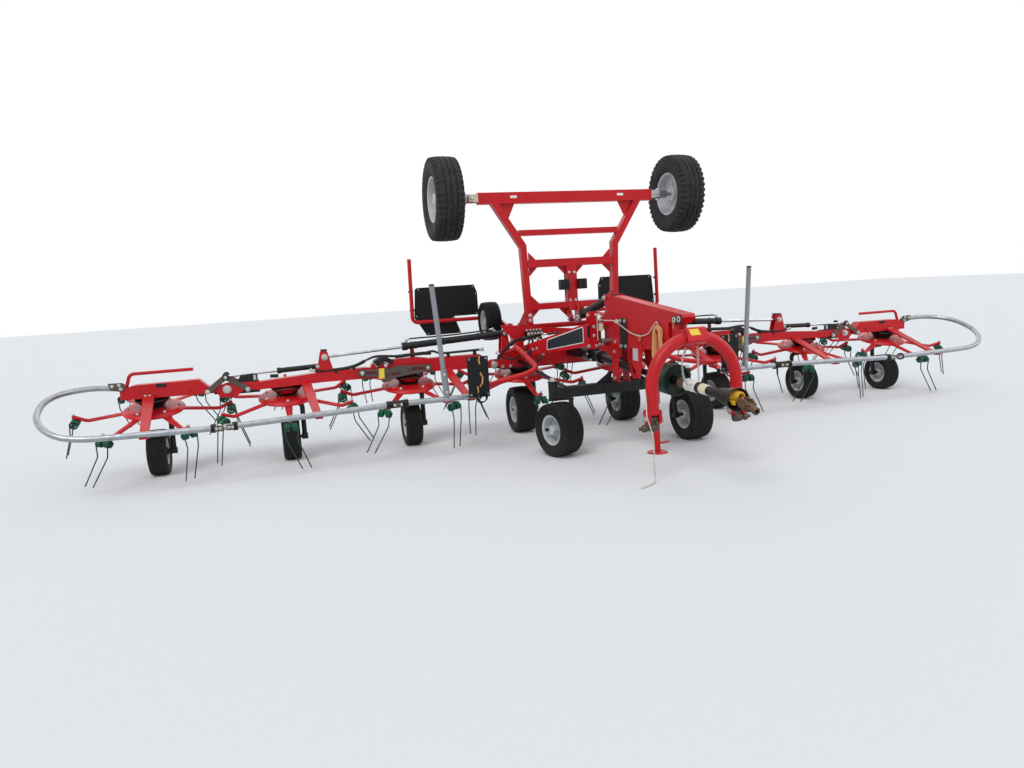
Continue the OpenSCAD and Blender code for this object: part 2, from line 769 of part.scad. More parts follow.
module arms() {
    run = norm(arm_out - arm_in);
    swing = atan2(arm_out[1] - arm_in[1], arm_out[0] - arm_in[0]);
    color("#c8161d") at_line() both_sides() {
        difference() {
            translate([arm_in[0], arm_in[1], 0]) rotate([90, 0, swing]) translate([0, 0, -42])
                linear_extrude(84) polygon([[-20, 920], [-20, 1120], [60, 1120], [run, 880],
                    [run + 90, 856], [run + 90, 790], [run - 60, 790]]);
            translate([0, beam_front, 700]) cube([1000, 400, 400]);
        }
        translate([arm_in[0] - 26, arm_in[1], 905]) cylinder(h = 235, d = 60);
        translate([tower_w / 2, arm_in[1] - 40, 915]) cube([arm_in[0] - tower_w / 2, 80, 22]);
        translate([tower_w / 2, arm_in[1] - 40, 1100]) cube([arm_in[0] - tower_w / 2, 80, 22]);
    }
    color("#c8161d") at_line() plate_xz([[-787, 1118], [-40, 1034], [40, 1034], [787, 1118],
        [787, 1096], [652, 950], [640, 868], [565, 868], [560, 962], [490, 988], [166, 1004],
        [-166, 1004], [-490, 988], [-560, 962], [-565, 868], [-640, 868], [-652, 950],
        [-787, 1096]], cross_y, cross_t);
}

// Cradle: the shaft of the transport frame, its side plates and the marker tubes

side_t = 22;
side_face = lift_side_x + side_t / 2;
module cradle() {
    color("#c8161d") at_line() {
        pin_x(0, lift_y, lift_z, 2 * side_face + 20, lift_d);
        both_sides() {
            pin_x(side_face + 22, lift_y, lift_z, 44, 96);
            tube_run([[side_face + 22, lift_y + 12, lift_z + 16], [side_face + 24, marker_y, 1165],
                [1490, marker_y, 1165], [1480, marker_y - 6, 1850]], marker_d, 60);
        }
        rod([-side_face - 22, lift_y, lift_z + 26], [-side_face - 14, spare_y, spare_z], 36);
        pin_x(-(side_face + spare_x + 50) / 2, spare_y, spare_z, spare_x + 50 - side_face,
            bore_d - 2 * seat);
    }
}

spare_x = 730;
spare_y = 452;
spare_z = 1140;

module spare_wheel() {
    color("#202124") at_line() translate([-spare_x, spare_y, spare_z])
        wheel_body(small_d, small_w, small_d * small_rim, hub_d, small_w - 40, 0);
}

module light_boards() {
    color("#141516") at_line() both_sides()
        plate_xz([[773, 1542], [1413, 1538], [1436, 1520], [1460, 1216], [1335, 1012],
            [950, 1016], [1016, 1206], [735, 1208], [738, 1455]],
            board_back - board_t / 2, board_t);
}

// Front axle with its kingpin sleeves, its struts, the driveline and its
// gearbox

axle_low = large_d + 30;
axle_top = 640;
drive_z = 720;
joint_r = 42;
joint_z0 = 686;

module underframe() {
    color("#17181a") at_line() {
        difference() {
            union() {
                translate([-caster_x, caster_y - 50, axle_low]) cube([2 * caster_x, 100, 92]);
                for (s = [-1, 1]) {
                    translate([s * caster_x, caster_y, axle_low])
                        cylinder(h = axle_top - axle_low, d = 82);
                    rod([s * 600, beam_front + 40, 745], [s * 540, caster_y + 30, axle_low + 84], 36);
                }
            }
            for (s = [-1, 1]) translate([s * caster_x, caster_y, axle_low - 20])
                cylinder(h = 200, d = kingpin2_d + 2 * seat);
            translate([-1000, beam_front, 600]) cube([2000, 200, 400]);
        }
        for (s = [-1, 1])
            translate([s * 50 - 6, caster_y - 60, axle_low + 85]) cube([12, 120, 905 - axle_low - 85]);
        rod([0, -560, 800], [0, -1440, drive_z + 5], 74);
        tube_run([[0, -1300, drive_z + 17.5], [0, -1508, drive_z - 1],
            [0, swivel_y + joint_r + seat, joint_z0]], 56, 300);
        translate([0, -420, 800]) rotate([90, 0, 0]) cylinder(h = 180, d = 150);
        translate([-90, -440, 760]) cube([180, beam_front + 440, 90]);
        translate([0, -1940, 696]) rotate([90, 0, 0]) difference() {
            cylinder(h = 250, d1 = 150, d2 = 230);
            translate([0, 0, 20]) cylinder(h = 240, d1 = 138, d2 = 220);
        }
    }
}

module hoses() {
    color("#1b1b1c") at_line() {
        translate([-552, cross_y - cross_t / 2 - seat - 78, 958]) cube([180, 78, 82]);
    }
}

// Front wheel forks: a kingpin in the axle's sleeve, a crown plate and a
// one-sided leg

module fork(s) {
    hub_x = -s * (large_w / 2 + 46);
    crown_z = large_d + 10;
    color("#17181a") at_caster(s) {
        translate([0, 0, crown_z]) cylinder(h = 656 - crown_z, d = kingpin2_d);
        translate([0, 0, crown_z]) cylinder(h = 14, d = 96);
        translate([0, 0, axle_top + 1]) cylinder(h = 10, d = 90);
        translate([min(0, hub_x) - 22, -28, crown_z]) cube([abs(hub_x) + 44, 56, 14]);
        rod([hub_x, 0, crown_z + 4], [hub_x, -caster_trail, large_d / 2], 42);
        rod([hub_x, -caster_trail, large_d / 2],
            [-hub_x * 0.6, -caster_trail, large_d / 2], bore_d - 2 * seat);
        pin_x(hub_x, -caster_trail, large_d / 2, 50, 56);
    }
}

// Headstock arch with its swivel hub

clevis_z = 470;

module headstock() {
    color("#c8161d") at_line() {
        difference() {
            union() {
                translate([0, swivel_y, hub_low]) cylinder(h = hub_high - hub_low, d = 112);
                translate([-42, arch_y, hub_low + 10]) cube([84, swivel_y - arch_y, 100]);
            }
            translate([0, swivel_y, hub_low - 5]) cylinder(h = 160, d = kingpin_d + 2 * seat);
        }
        translate([0, arch_y, arch_z]) rotate([90, 0, 0])
            rotate_extrude(angle = 180) translate([arch_r, 0]) circle(d = arch_d);
        pin_x(0, arch_y, arch_z + arch_r, 168, arch_d + 22);
        both_sides() {
            translate([arch_r, arch_y, clevis_z + 30])
                cylinder(h = arch_z - clevis_z - 30, d = arch_d);
            for (k = [-1, 1]) {
                pin_x(arch_r + k * 44, arch_y, clevis_z, 22, 84);
                translate([arch_r + k * 44 - 11, arch_y - 42, clevis_z])
                    cube([22, 84, 60]);
            }
            translate([arch_r - 50, arch_y - 42, clevis_z + 36]) cube([100, 84, 30]);
            pin_x(arch_r, arch_y, clevis_z, 130, 30);
        }
    }
}

hook_z = 405;

module hitch_hooks() {
    color("#5a4335") at_line() both_sides() difference() {
        union() {
            pin_x(arch_r, arch_y, clevis_z, 60, 52);
            plate_xz([[arch_r - 24, clevis_z], [arch_r + 24, clevis_z], [arch_r + 24, hook_z],
                [arch_r - 24, hook_z]], arch_y, 30);
            pin_x(arch_r, arch_y, hook_z, 56, 62);
            pin_x(arch_r + 28 + link_pin_len / 2, arch_y, hook_z, link_pin_len, link_pin_d);
        }
        pin_x(arch_r, arch_y, clevis_z, 80, 30 + 2 * seat);
    }
}

module pto_shaft() {
    joint = [0, swivel_y, joint_z0];
    a = [0, -2352, 682];
    b = [0, -2560, 670];
    c = [0, -2800, 655];
    color("#1c1d1f") at_line() {
        translate(joint) sphere(r = joint_r);
        rod(joint, a, 52);
        rod(a, b, 86);
        rod(b, c, 70);
        translate(c) rotate([90 + 3.5, 0, 0]) difference() {
            cylinder(h = 200, d1 = 88, d2 = 152);
            translate([0, 0, 20]) cylinder(h = 190, d1 = 76, d2 = 143);
        }
        rod(c, [0, -3110, 632], 44);
        translate([-34, -3150, 590]) cube([68, 60, 74]);
        translate([-26, shaft_tip_y, 570]) cube([52, 90, 52]);
    }
}

// Cords: tubes swept along points chosen by hand

rope_d = 10;
rope_points = [[-222, -1030, 1150], [-160, -1080, 1150], [-100, -1150, 1141], [-72, -1260, 1136],
    [-66, -1400, 1090], [-66, -1550, 1046], [-66, -1720, 1024], [-66, -1870, 1050],
    [-68, -1940, 1097], [-69, -2009, 1143], [-69, -2020, 1146], [-69, -2034, 1140],
    [-69, -2040, 1127], [-69, -2040, 1116]];
leg_points = [[-406, -2450, 660], [-414, -2468, 620], [-424, -2490, 560], [-430, -2505, 500],
    [-414, -2515, 430], [-392, -2515, 340], [-380, -2500, 240], [-372, -2480, 140],
    [-366, -2470, 60], [-372, -2480, 14], [-410, -2520, 6], [-470, -2560, 6], [-540, -2590, 6]];

function tangent(p, i) = unit(p[min(i + 1, len(p) - 1)] - p[max(i - 1, 0)]);
function side_of(t) = unit(cross(t, abs(t[2]) > 0.8 ? [0, 1, 0] : [0, 0, 1]));

// A cord as one closed tube with a ring of points at each point of its route
module cord(p, d, sides) {
    n = len(p);
    rings = [for (i = [0 : n - 1]) let (t = tangent(p, i), a = side_of(t), b = cross(t, a))
        for (k = [0 : sides - 1]) p[i] + (a * cos(360 * k / sides) + b * sin(360 * k / sides)) * d / 2];
    walls = [for (i = [0 : n - 2]) for (k = [0 : sides - 1])
        let (j = (k + 1) % sides) [i * sides + k, i * sides + j, (i + 1) * sides + j, (i + 1) * sides + k]];
    polyhedron(rings, concat([[for (k = [sides - 1 : -1 : 0]) k]], walls,
        [[for (k = [0 : sides - 1]) (n - 1) * sides + k]]));
}

module rope() {
    color("#e6e2d8") at_line() cord(rope_points, rope_d, 8);
}

module hank() {
    color("#d9b27a") at_line() translate([-tower_w / 2 - seat - 14, -2040, 960]) rotate([0, 0, 90])
        rotate([90, 0, 0]) translate([0, 0, -14]) linear_extrude(28) {
            translate([0, 112]) circle(r = 44);
            translate([0, -112]) circle(r = 44);
            translate([-44, -112]) square([88, 224]);
        }
}

module leg_rope() {
    color("#e6e2d8") at_line() cord(leg_points, rope_d, 8);
}

tower();
arms();
centre_beam();
cradle();
underframe();
light_boards();
spare_wheel();
hoses();
jack();
transport_frame();
lift_barrel();
lift_rod();
transport_wheel(1);  // transport_wheel_l
transport_wheel(-1);  // transport_wheel_r
headstock();
hitch_hooks();
pto_shaft();
fork(1);  // fork_l
fork(-1);  // fork_r
front_wheel(1);  // front_wheel_l
front_wheel(-1);  // front_wheel_r
rotor(1);  // rotor_1
rotor(2);  // rotor_2
rotor(3);  // rotor_3
rotor(4);  // rotor_4
rotor(5);  // rotor_5
rotor(6);  // rotor_6
rotor(7);  // rotor_7
rotor(8);  // rotor_8
rotor_wheel(1);  // wheel_1
rotor_wheel(2);  // wheel_2
rotor_wheel(3);  // wheel_3
rotor_wheel(4);  // wheel_4
rotor_wheel(5);  // wheel_5
rotor_wheel(6);  // wheel_6
rotor_wheel(7);  // wheel_7
rotor_wheel(8);  // wheel_8
wing_beam(1);  // wing_beam_l
wing_beam(-1);  // wing_beam_r
wing_guard(1);  // wing_guard_l
wing_guard(-1);  // wing_guard_r
outer_beam(1);  // outer_beam_l
outer_beam(-1);  // outer_beam_r
outer_guard(1);  // outer_guard_l
outer_guard(-1);  // outer_guard_r
wing_barrel(1);  // wing_barrel_l
wing_barrel(-1);  // wing_barrel_r
wing_rod(1);  // wing_rod_l
wing_rod(-1);  // wing_rod_r
outer_barrel(1);  // outer_barrel_l
outer_barrel(-1);  // outer_barrel_r
outer_rod(1);  // outer_rod_l
outer_rod(-1);  // outer_rod_r
rocker(1);  // rocker_l
rocker(-1);  // rocker_r
link(1);  // link_l
link(-1);  // link_r
rope();
hank();
leg_rope();
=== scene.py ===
"""Looks of the mounted hay tedder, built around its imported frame."""

from math import copysign, cos, degrees, hypot, pi, radians, sin, tan, tau

import bpy
import numpy as np
from mathutils import Matrix, Vector


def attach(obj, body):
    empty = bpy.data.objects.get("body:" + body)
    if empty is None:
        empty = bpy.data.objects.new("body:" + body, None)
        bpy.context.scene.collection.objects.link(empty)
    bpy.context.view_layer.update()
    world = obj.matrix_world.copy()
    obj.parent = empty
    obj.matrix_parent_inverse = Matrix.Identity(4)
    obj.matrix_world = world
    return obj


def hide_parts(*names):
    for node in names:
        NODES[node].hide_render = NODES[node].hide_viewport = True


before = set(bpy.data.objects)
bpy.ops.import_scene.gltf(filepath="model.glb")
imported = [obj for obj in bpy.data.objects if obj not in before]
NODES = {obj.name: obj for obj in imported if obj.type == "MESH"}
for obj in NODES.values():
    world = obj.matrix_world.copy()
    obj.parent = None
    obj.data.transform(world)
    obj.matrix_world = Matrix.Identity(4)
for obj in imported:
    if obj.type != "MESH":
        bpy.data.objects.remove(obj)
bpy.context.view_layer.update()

# Lengths are in millimetres about the rotor line, as in the part's source.
MM = 0.001
LINE_Y = 1164.5
BEAM_Y = -50
BEAM_FRONT = BEAM_Y - 60
BEAM_LOW = 703
GUARD_Y = -850
GUARD_Z = 540
PLATE_Z = 620
TILT = 12
PITCH = 1150
TIP_X = 3390
FLOAT_X = 1940
# Headstock: its arch, legs and kingpin. Underframe: its front bar and forks.
HEAD_Y, LEG_X, KINGPIN_Y = -2450, 355, -2255
FRAME_Y, FORK_X = -1200, 660
# Transport frame: its axle
AXLE_Y, AXLE_Z = -55, 2365
# Wing cylinder: its foot on the centre beam, and the wing's post with its eye
FOOT_X, FOOT_Z, POST_X, EYE_Z = 740, 1030, 2510, 942
# Diameter and width of the tyres
SMALL, LARGE, ROAD = (410, 165), (470, 215), (800, 270)
SIDES = ((1, "l"), (-1, "r"))
UP, FRONT = (0, 0, 1), (0, -1, 0)


def metres(p):
    return Vector((p[0] * MM, (p[1] + LINE_Y) * MM, p[2] * MM))


def rotor_x(i):
    return (i - 4.5) * PITCH


def add_object(name, data):
    obj = bpy.data.objects.new(name, data)
    bpy.context.scene.collection.objects.link(obj)
    return obj


# ---------------------------------------------------------------- camera


def make_camera():
    """The camera that was solved from the photograph."""
    data = bpy.data.cameras.new("camera")
    data.lens, data.sensor_width, data.clip_end = 26.567, 36.0, 200
    cam = add_object("camera", data)
    right = Vector((0.95174619, -0.30099582, -0.05983906))
    up = Vector((0.09504105, 0.10369182, 0.99005818))
    back = Vector((-0.29179855, -0.94797127, 0.12729525))
    heading = Matrix((right, up, back)).transposed().to_4x4()
    cam.matrix_world = Matrix.Translation((-2.928, -6.1955, 1.489)) @ heading
    bpy.context.scene.camera = cam


make_camera()

# ---------------------------------------------------------------- materials

DUST = (150, 138, 122)
PAINT_PEEL = 0.10
EDGE_WEAR_R = 0.0016


def tint(rgb, k=1.0):
    """A screen colour, three values up to 255, made linear and k times as bright."""
    parts = [c / 255 for c in rgb]
    parts = [c / 12.92 if c <= 0.04045 else ((c + 0.055) / 1.055) ** 2.4 for c in parts]
    return (*(min(1.0, c * k) for c in parts), 1.0)


class Tree:
    """Short calls for the nodes of a material's or the world's tree."""

    def __init__(self, owner):
        owner.use_nodes = True
        self.tree = owner.node_tree
        self.tree.nodes.clear()

    def node(self, kind, **values):
        n = self.tree.nodes.new("ShaderNode" + kind)
        for key, value in values.items():
            setattr(n, key, value)
        return n

    def put(self, socket, value):
        if isinstance(value, bpy.types.NodeSocket):
            self.tree.links.new(value, socket)
        else:
            socket.default_value = value

    def fill(self, n, **values):
        """Puts values or links into a node's inputs, named with _ for a space."""
        for key, value in values.items():
            self.put(n.inputs[key.replace("_", " ")], value)
        return n

    def maths(self, how, a, b):
        n = self.node("Math", operation=how)
        self.put(n.inputs[0], a)
        self.put(n.inputs[1], b)
        return n.outputs[0]


class Shader(Tree):
    """A surface, with the patterns that the finishes share."""

    def __init__(self, name, placed=True):
        self.mat = bpy.data.materials.new(name)
        super().__init__(self.mat)
        out = self.node("OutputMaterial")
        self.skin = self.node("BsdfPrincipled")
        self.put(out.inputs[0], self.skin.outputs[0])
        self.where = self.node("TexCoord").outputs["Object"] if placed else None

    def noise(self, scale, detail=3.0, rough=0.55, stretch=None):
        n = self.fill(self.node("TexNoise"), Scale=scale, Detail=detail, Roughness=rough)
        where = self.where
        if stretch:
            m = self.fill(self.node("Mapping"), Scale=stretch, Vector=where)
            where = m.outputs[0]
        if where:
            self.fill(n, Vector=where)
        return n.outputs["Fac"]

    def span(self, value, low, high, to_low=0.0, to_high=1.0):
        return self.fill(self.node("MapRange"), From_Min=low, From_Max=high, To_Min=to_low,
                         To_Max=to_high, Value=value).outputs[0]

    def times(self, a, b):
        return self.maths("MULTIPLY", a, b)

    def mix(self, fac, a, b):
        n = self.node("Mix", data_type="RGBA")
        for i, value in ((0, fac), (6, a), (7, b)):
            self.put(n.inputs[i], value)
        return n.outputs[2]

    def drift(self, noise, low, high, colour, dark, light):
        """A colour that wanders between a darker and a lighter shade."""
        return self.mix(self.span(noise, low, high), tint(colour, dark), tint(colour, light))

    def rounded(self, radius):
        return self.fill(self.node("Bevel", samples=4), Radius=radius).outputs[0]

    def edges(self, radius, low=0.015, high=0.12):
        """1 along sharp edges, from the rounded normal that the edge would have."""
        soft = self.rounded(radius)
        dot = self.node("VectorMath", operation="DOT_PRODUCT")
        self.put(dot.inputs[0], soft)
        self.put(dot.inputs[1], self.node("NewGeometry").outputs["Normal"])
        return self.span(self.maths("SUBTRACT", 1.0, dot.outputs["Value"]), low, high)

    def upwards(self, vector, low, high, to_low=0.0, to_high=1.0):
        """Spans the Z of a vector."""
        parts = self.fill(self.node("SeparateXYZ"), Vector=vector)
        return self.span(parts.outputs[2], low, high, to_low, to_high)

    def settled(self, noise, low, high, dust, flat_low=0.25):
        """Dust in patches, on faces that look up."""
        top = self.upwards(self.node("NewGeometry").outputs["Normal"], flat_low, 0.95)
        return self.times(top, self.span(noise, low, high, 0.0, dust))

    def finish(self, colour, rough, bump=0.0, height=None, bevel=0.0015, depth=0.001, **fixed):
        self.fill(self.skin, Base_Color=colour, Roughness=rough, **fixed)
        normal = self.rounded(bevel) if bevel else None
        if bump:
            n = self.fill(self.node("Bump"), Strength=bump, Distance=depth, Height=height)
            if normal:
                self.fill(n, Normal=normal)
            normal = n.outputs[0]
        if normal:
            self.fill(self.skin, Normal=normal)
        return self.mat


def paint(name, colour, rough=0.32, wear=0.5, dust=0.25, mottle=0.09, chip=(126, 112, 108)):
    """Machine paint: faint colour drift, orange peel, dust on top and scuffed edges."""
    s = Shader(name)
    fine, scuff = s.noise(85, 3), s.noise(38, 5, 0.7)
    base = s.drift(s.noise(2.6, 4), 0.32, 0.68, colour, 1 - mottle, 1 + mottle)
    base = s.mix(s.times(s.span(fine, 0.35, 0.75), 0.10), base, tint(colour, 0.62))
    worn = s.times(s.edges(EDGE_WEAR_R), s.span(scuff, 0.50, 0.66, 0.0, wear))
    base = s.mix(worn, base, tint(chip))
    settled = s.settled(s.noise(7, 6, 0.62), 0.34, 0.78, dust)
    base = s.mix(settled, base, tint(DUST))
    gloss = s.maths("ADD", s.span(fine, 0.3, 0.7, rough - 0.05, rough + 0.06),
                    s.times(settled, 0.6))
    return s.finish(base, gloss, PAINT_PEEL, s.noise(420, 2), bevel=0.0022, depth=0.0006,
                    Specular_IOR_Level=0.34)


def rubber(name, colour, rough=0.72, dust=0.30, low_dust=0.0, bump=0.25, scale=260):
    """Rubber with grime in patches, and dust on its lower part."""
    s = Shader(name)
    fine = s.noise(120, 4)
    base = s.drift(s.noise(5, 4), 0.3, 0.7, colour, 0.8, 1.25)
    base = s.mix(s.span(s.noise(11, 6, 0.65), 0.36, 0.74, 0.0, dust), base, tint(DUST, 0.55))
    if low_dust:
        low = s.times(s.upwards(s.where, 0.05, 0.35, 1.0, 0.0),
                      s.span(fine, 0.35, 0.7, 0.0, low_dust))
        base = s.mix(low, base, tint(DUST, 0.8))
    return s.finish(base, s.span(fine, 0.3, 0.7, rough - 0.08, rough + 0.08), bump,
                    s.noise(scale, 4), bevel=0.0012, depth=0.0008, Specular_IOR_Level=0.2)


def zinc(name, colour, rough=0.42, spangle=26.0, dull=0.35):
    """Galvanised steel: spangled patches with a cloudy white bloom."""
    s = Shader(name)
    cells = s.fill(s.node("TexVoronoi"), Scale=spangle, Vector=s.where)
    grey = s.fill(s.node("RGBToBW"), Color=cells.outputs["Color"])
    base = s.mix(grey.outputs[0], tint(colour, 0.82), tint(colour, 1.14))
    bloom = s.span(s.noise(9, 6, 0.6), 0.42, 0.72, 0.0, dull)
    base = s.mix(bloom, base, tint((172, 176, 178)))
    scratch = s.noise(60, 5, 0.7, stretch=(0.4, 3, 3))
    return s.finish(base, s.span(scratch, 0.3, 0.7, rough - 0.1, rough + 0.12), 0.12, scratch,
                    depth=0.0005, Metallic=0.9)


def bare(name, colour, rough=0.4, metal=0.85, rust=0.0, bump=0.12):
    """Bare or oiled steel, with rust where it is asked for."""
    s = Shader(name)
    fine = s.noise(150, 5, 0.6)
    base = s.drift(s.noise(14, 6, 0.65), 0.3, 0.7, colour, 0.75, 1.2)
    if rust:
        spots = s.span(s.noise(46, 7, 0.68), 0.5 - 0.12 * rust, 0.66, 0.0, rust)
        base = s.mix(spots, base, s.mix(fine, tint((92, 52, 30)), tint((134, 82, 48))))
    return s.finish(base, s.span(fine, 0.25, 0.75, rough - 0.12, rough + 0.14), bump, fine,
                    bevel=0.001, depth=0.0006, Metallic=metal)


def plastic(name, colour, rough=0.5, grain=0.2, scale=300, dust=0.15):
    """Moulded plastic or a plate's smooth face, with some dust on top."""
    s = Shader(name)
    fine = s.noise(scale, 3)
    base = s.drift(s.noise(6, 4), 0.3, 0.7, colour, 0.86, 1.12)
    base = s.mix(s.settled(s.noise(9, 6, 0.6), 0.3, 0.75, dust, 0.1), base, tint(DUST))
    return s.finish(base, s.span(fine, 0.3, 0.7, rough - 0.06, rough + 0.08), grain, fine,
                    depth=0.0004, Specular_IOR_Level=0.3)


def fibre(name, colour, dark):
    """Twisted rope: stray fibres and soiled hollows between the strands."""
    s = Shader(name)
    fine = s.noise(900, 4, 0.7)
    base = s.mix(s.span(s.noise(70, 5, 0.7), 0.35, 0.7), tint(colour), tint(dark))
    base = s.mix(s.times(fine, 0.35), base, tint(dark, 0.6))
    return s.finish(base, 0.85, 0.6, fine, bevel=0, depth=0.0008, Sheen_Weight=0.25)


MATS = {
    "red": paint("red_paint", (192, 12, 24), 0.34, 0.3, 0.07),
    "black": paint("black_paint", (13, 15, 18), 0.38, 0.3, 0.08, 0.18, (96, 92, 90)),
    "board": plastic("board_black", (8, 10, 13), 0.55, 0.12, 240, 0.08),
    "grey": paint("grey_paint", (136, 141, 146), 0.42, 0.25, 0.12),
    "brown": paint("brown_latch", (88, 78, 72), 0.48, 0.7, 0.2, 0.2, (150, 140, 132)),
    # slot: dark red sheets for the latch plates' slots, painted shade of the red beam behind them
    "slot": paint("slot_painted_shade", (92, 20, 24), 0.5, 0.1, 0.1),
    "galv": zinc("galvanised", (160, 165, 170), 0.33, dull=0.2),
    "zinc": zinc("bolt_zinc", (196, 196, 190), 0.34, 120.0, 0.2),
    "chrome": bare("chrome", (205, 208, 212), 0.2, 1.0, bump=0.0),
    "rim": paint("rim_silver", (186, 189, 192), 0.34, 0.3, 0.1, 0.12),
    "tyre": rubber("tyre_rubber", (15, 16, 18), 0.72, 0.07, 0.14),
    "road": rubber("road_rubber", (38, 38, 38), 0.74, 0.18),
    "hose": rubber("hose_rubber", (24, 25, 27), 0.48, 0.12, bump=0.3, scale=500),
    "boot": rubber("boot_rubber", (26, 27, 29), 0.62, 0.2, bump=0.2),
    "coil": paint("coil_green", (20, 92, 68), 0.45, 0.4, 0.12, 0.2, (60, 66, 60)),
    "tine": paint("tine_green", (24, 66, 54), 0.42, 0.6, 0.1, 0.25, (104, 104, 98)),
    "hook": bare("hook_steel", (92, 82, 76), 0.5, 0.7, 0.45),
    "rusty": bare("rusty_steel", (104, 86, 68), 0.6, 0.6, 0.75, 0.3),
    "steel": bare("plain_steel", (150, 152, 154), 0.36, 0.9, 0.08),
    "yellow": plastic("yellow_plastic", (214, 164, 44), 0.45),
    "white": plastic("white_plastic", (226, 226, 218), 0.45),
    "cream": plastic("cream_paint", (222, 212, 184), 0.42),
    "sticker": plastic("sticker_yellow", (240, 204, 70), 0.38, 0.05),
    "sign": plastic("sign_white", (232, 230, 226), 0.36, 0.05),
    "panel": plastic("panel_dark", (34, 42, 50), 0.34, 0.05),
    "orange": plastic("reflector_orange", (226, 98, 28), 0.22, 0.05),
    "lamp": plastic("lamp_red", (168, 14, 20), 0.2, 0.05),
    "bell": plastic("bell_green", (22, 42, 36), 0.46, 0.15),
    "guard": plastic("guard_black", (24, 25, 27), 0.5, 0.25, 200),
    "rope": fibre("rope_white", (232, 226, 212), (168, 152, 130)),
    "twine": fibre("rope_orange", (236, 186, 122), (206, 132, 66)),
}

# ---------------------------------------------------------------- mesh tools

XZ = Matrix(((1, 0, 0, 0), (0, 0, -1, 0), (0, 1, 0, 0), (0, 0, 0, 1)))
YZ = Matrix(((0, 0, 1, 0), (1, 0, 0, 0), (0, 1, 0, 0), (0, 0, 0, 1)))
# Parts of a bolt's size
WASHER_H, WASHER_R, HEAD_H, HEAD_R = 0.14, 0.98, 0.5, 0.78


def move(x, y, z):
    return Matrix.Translation((x, y, z))


def turn(angle, axis):
    return Matrix.Rotation(radians(angle), 4, axis)


def facing(origin, z_axis, x_hint=UP):
    """A matrix at origin whose Z looks along z_axis."""
    z = Vector(z_axis).normalized()
    x = Vector(x_hint) - Vector(x_hint).dot(z) * z
    if x.length < 1e-4:
        x = z.orthogonal()
    x.normalize()
    m = Matrix((x, z.cross(x), z)).transposed().to_4x4()
    m.translation = Vector(origin)
    return m


def circle(n, r=1.0, first=0.0):
    return [(r * cos(t), r * sin(t)) for t in (tau * k / n + first for k in range(n))]


def mirror(s, points):
    return [(s * abs(p[0]), *p[1:]) for p in points]


def rounded(points, bend, step=12.0):
    """The corner points of a path, with round bends of that radius."""
    pts = [Vector(p) for p in points]
    out = [pts[0]]
    for a, b, c in zip(pts, pts[1:], pts[2:]):
        u, v = (b - a).normalized(), (c - b).normalized()
        angle = u.angle(v, 0.0)
        if angle < 0.02:
            out.append(b)
            continue
        cut = min(bend * tan(angle / 2), 0.48 * (b - a).length, 0.48 * (c - b).length)
        centre = b + (v - u).normalized() * (cut / sin(angle / 2))
        n = max(2, int(degrees(angle) / step) + 1)
        first, axis = b - u * cut - centre, u.cross(v).normalized()
        out += [centre + Matrix.Rotation(angle * k / n, 3, axis) @ first for k in range(n + 1)]
    return out + [pts[-1]]


def spline(points, per=6):
    """A smooth curve through the points."""
    pts = [Vector(p) for p in points]
    full = [2 * pts[0] - pts[1]] + pts + [2 * pts[-1] - pts[-2]]
    out = []
    for a, b, c, d in zip(full, full[1:], full[2:], full[3:]):
        for t in (k / per for k in range(per)):
            out.append(0.5 * (2 * b + (c - a) * t + (2 * a - 5 * b + 4 * c - d) * t * t
                              + (3 * b - a - 3 * c + d) * t ** 3))
    return out + [pts[-1]]


def frames(path, closed=False):
    """A steady pair of side vectors at each point of a path."""
    if closed:
        ends = zip(path[-1:] + path[:-1], path[1:] + path[:1])
    else:
        ends = zip(path[:1] + path[:-1], path[1:] + path[-1:])
    ways = [(b - a).normalized() for a, b in ends]
    side = ways[0].cross(Vector(UP))
    if side.length < 0.2:
        side = ways[0].cross(Vector((0, 1, 0)))
    out = []
    for t in ways:
        side = (side - side.dot(t) * t).normalized()
        out.append((side, t.cross(side)))
    return out


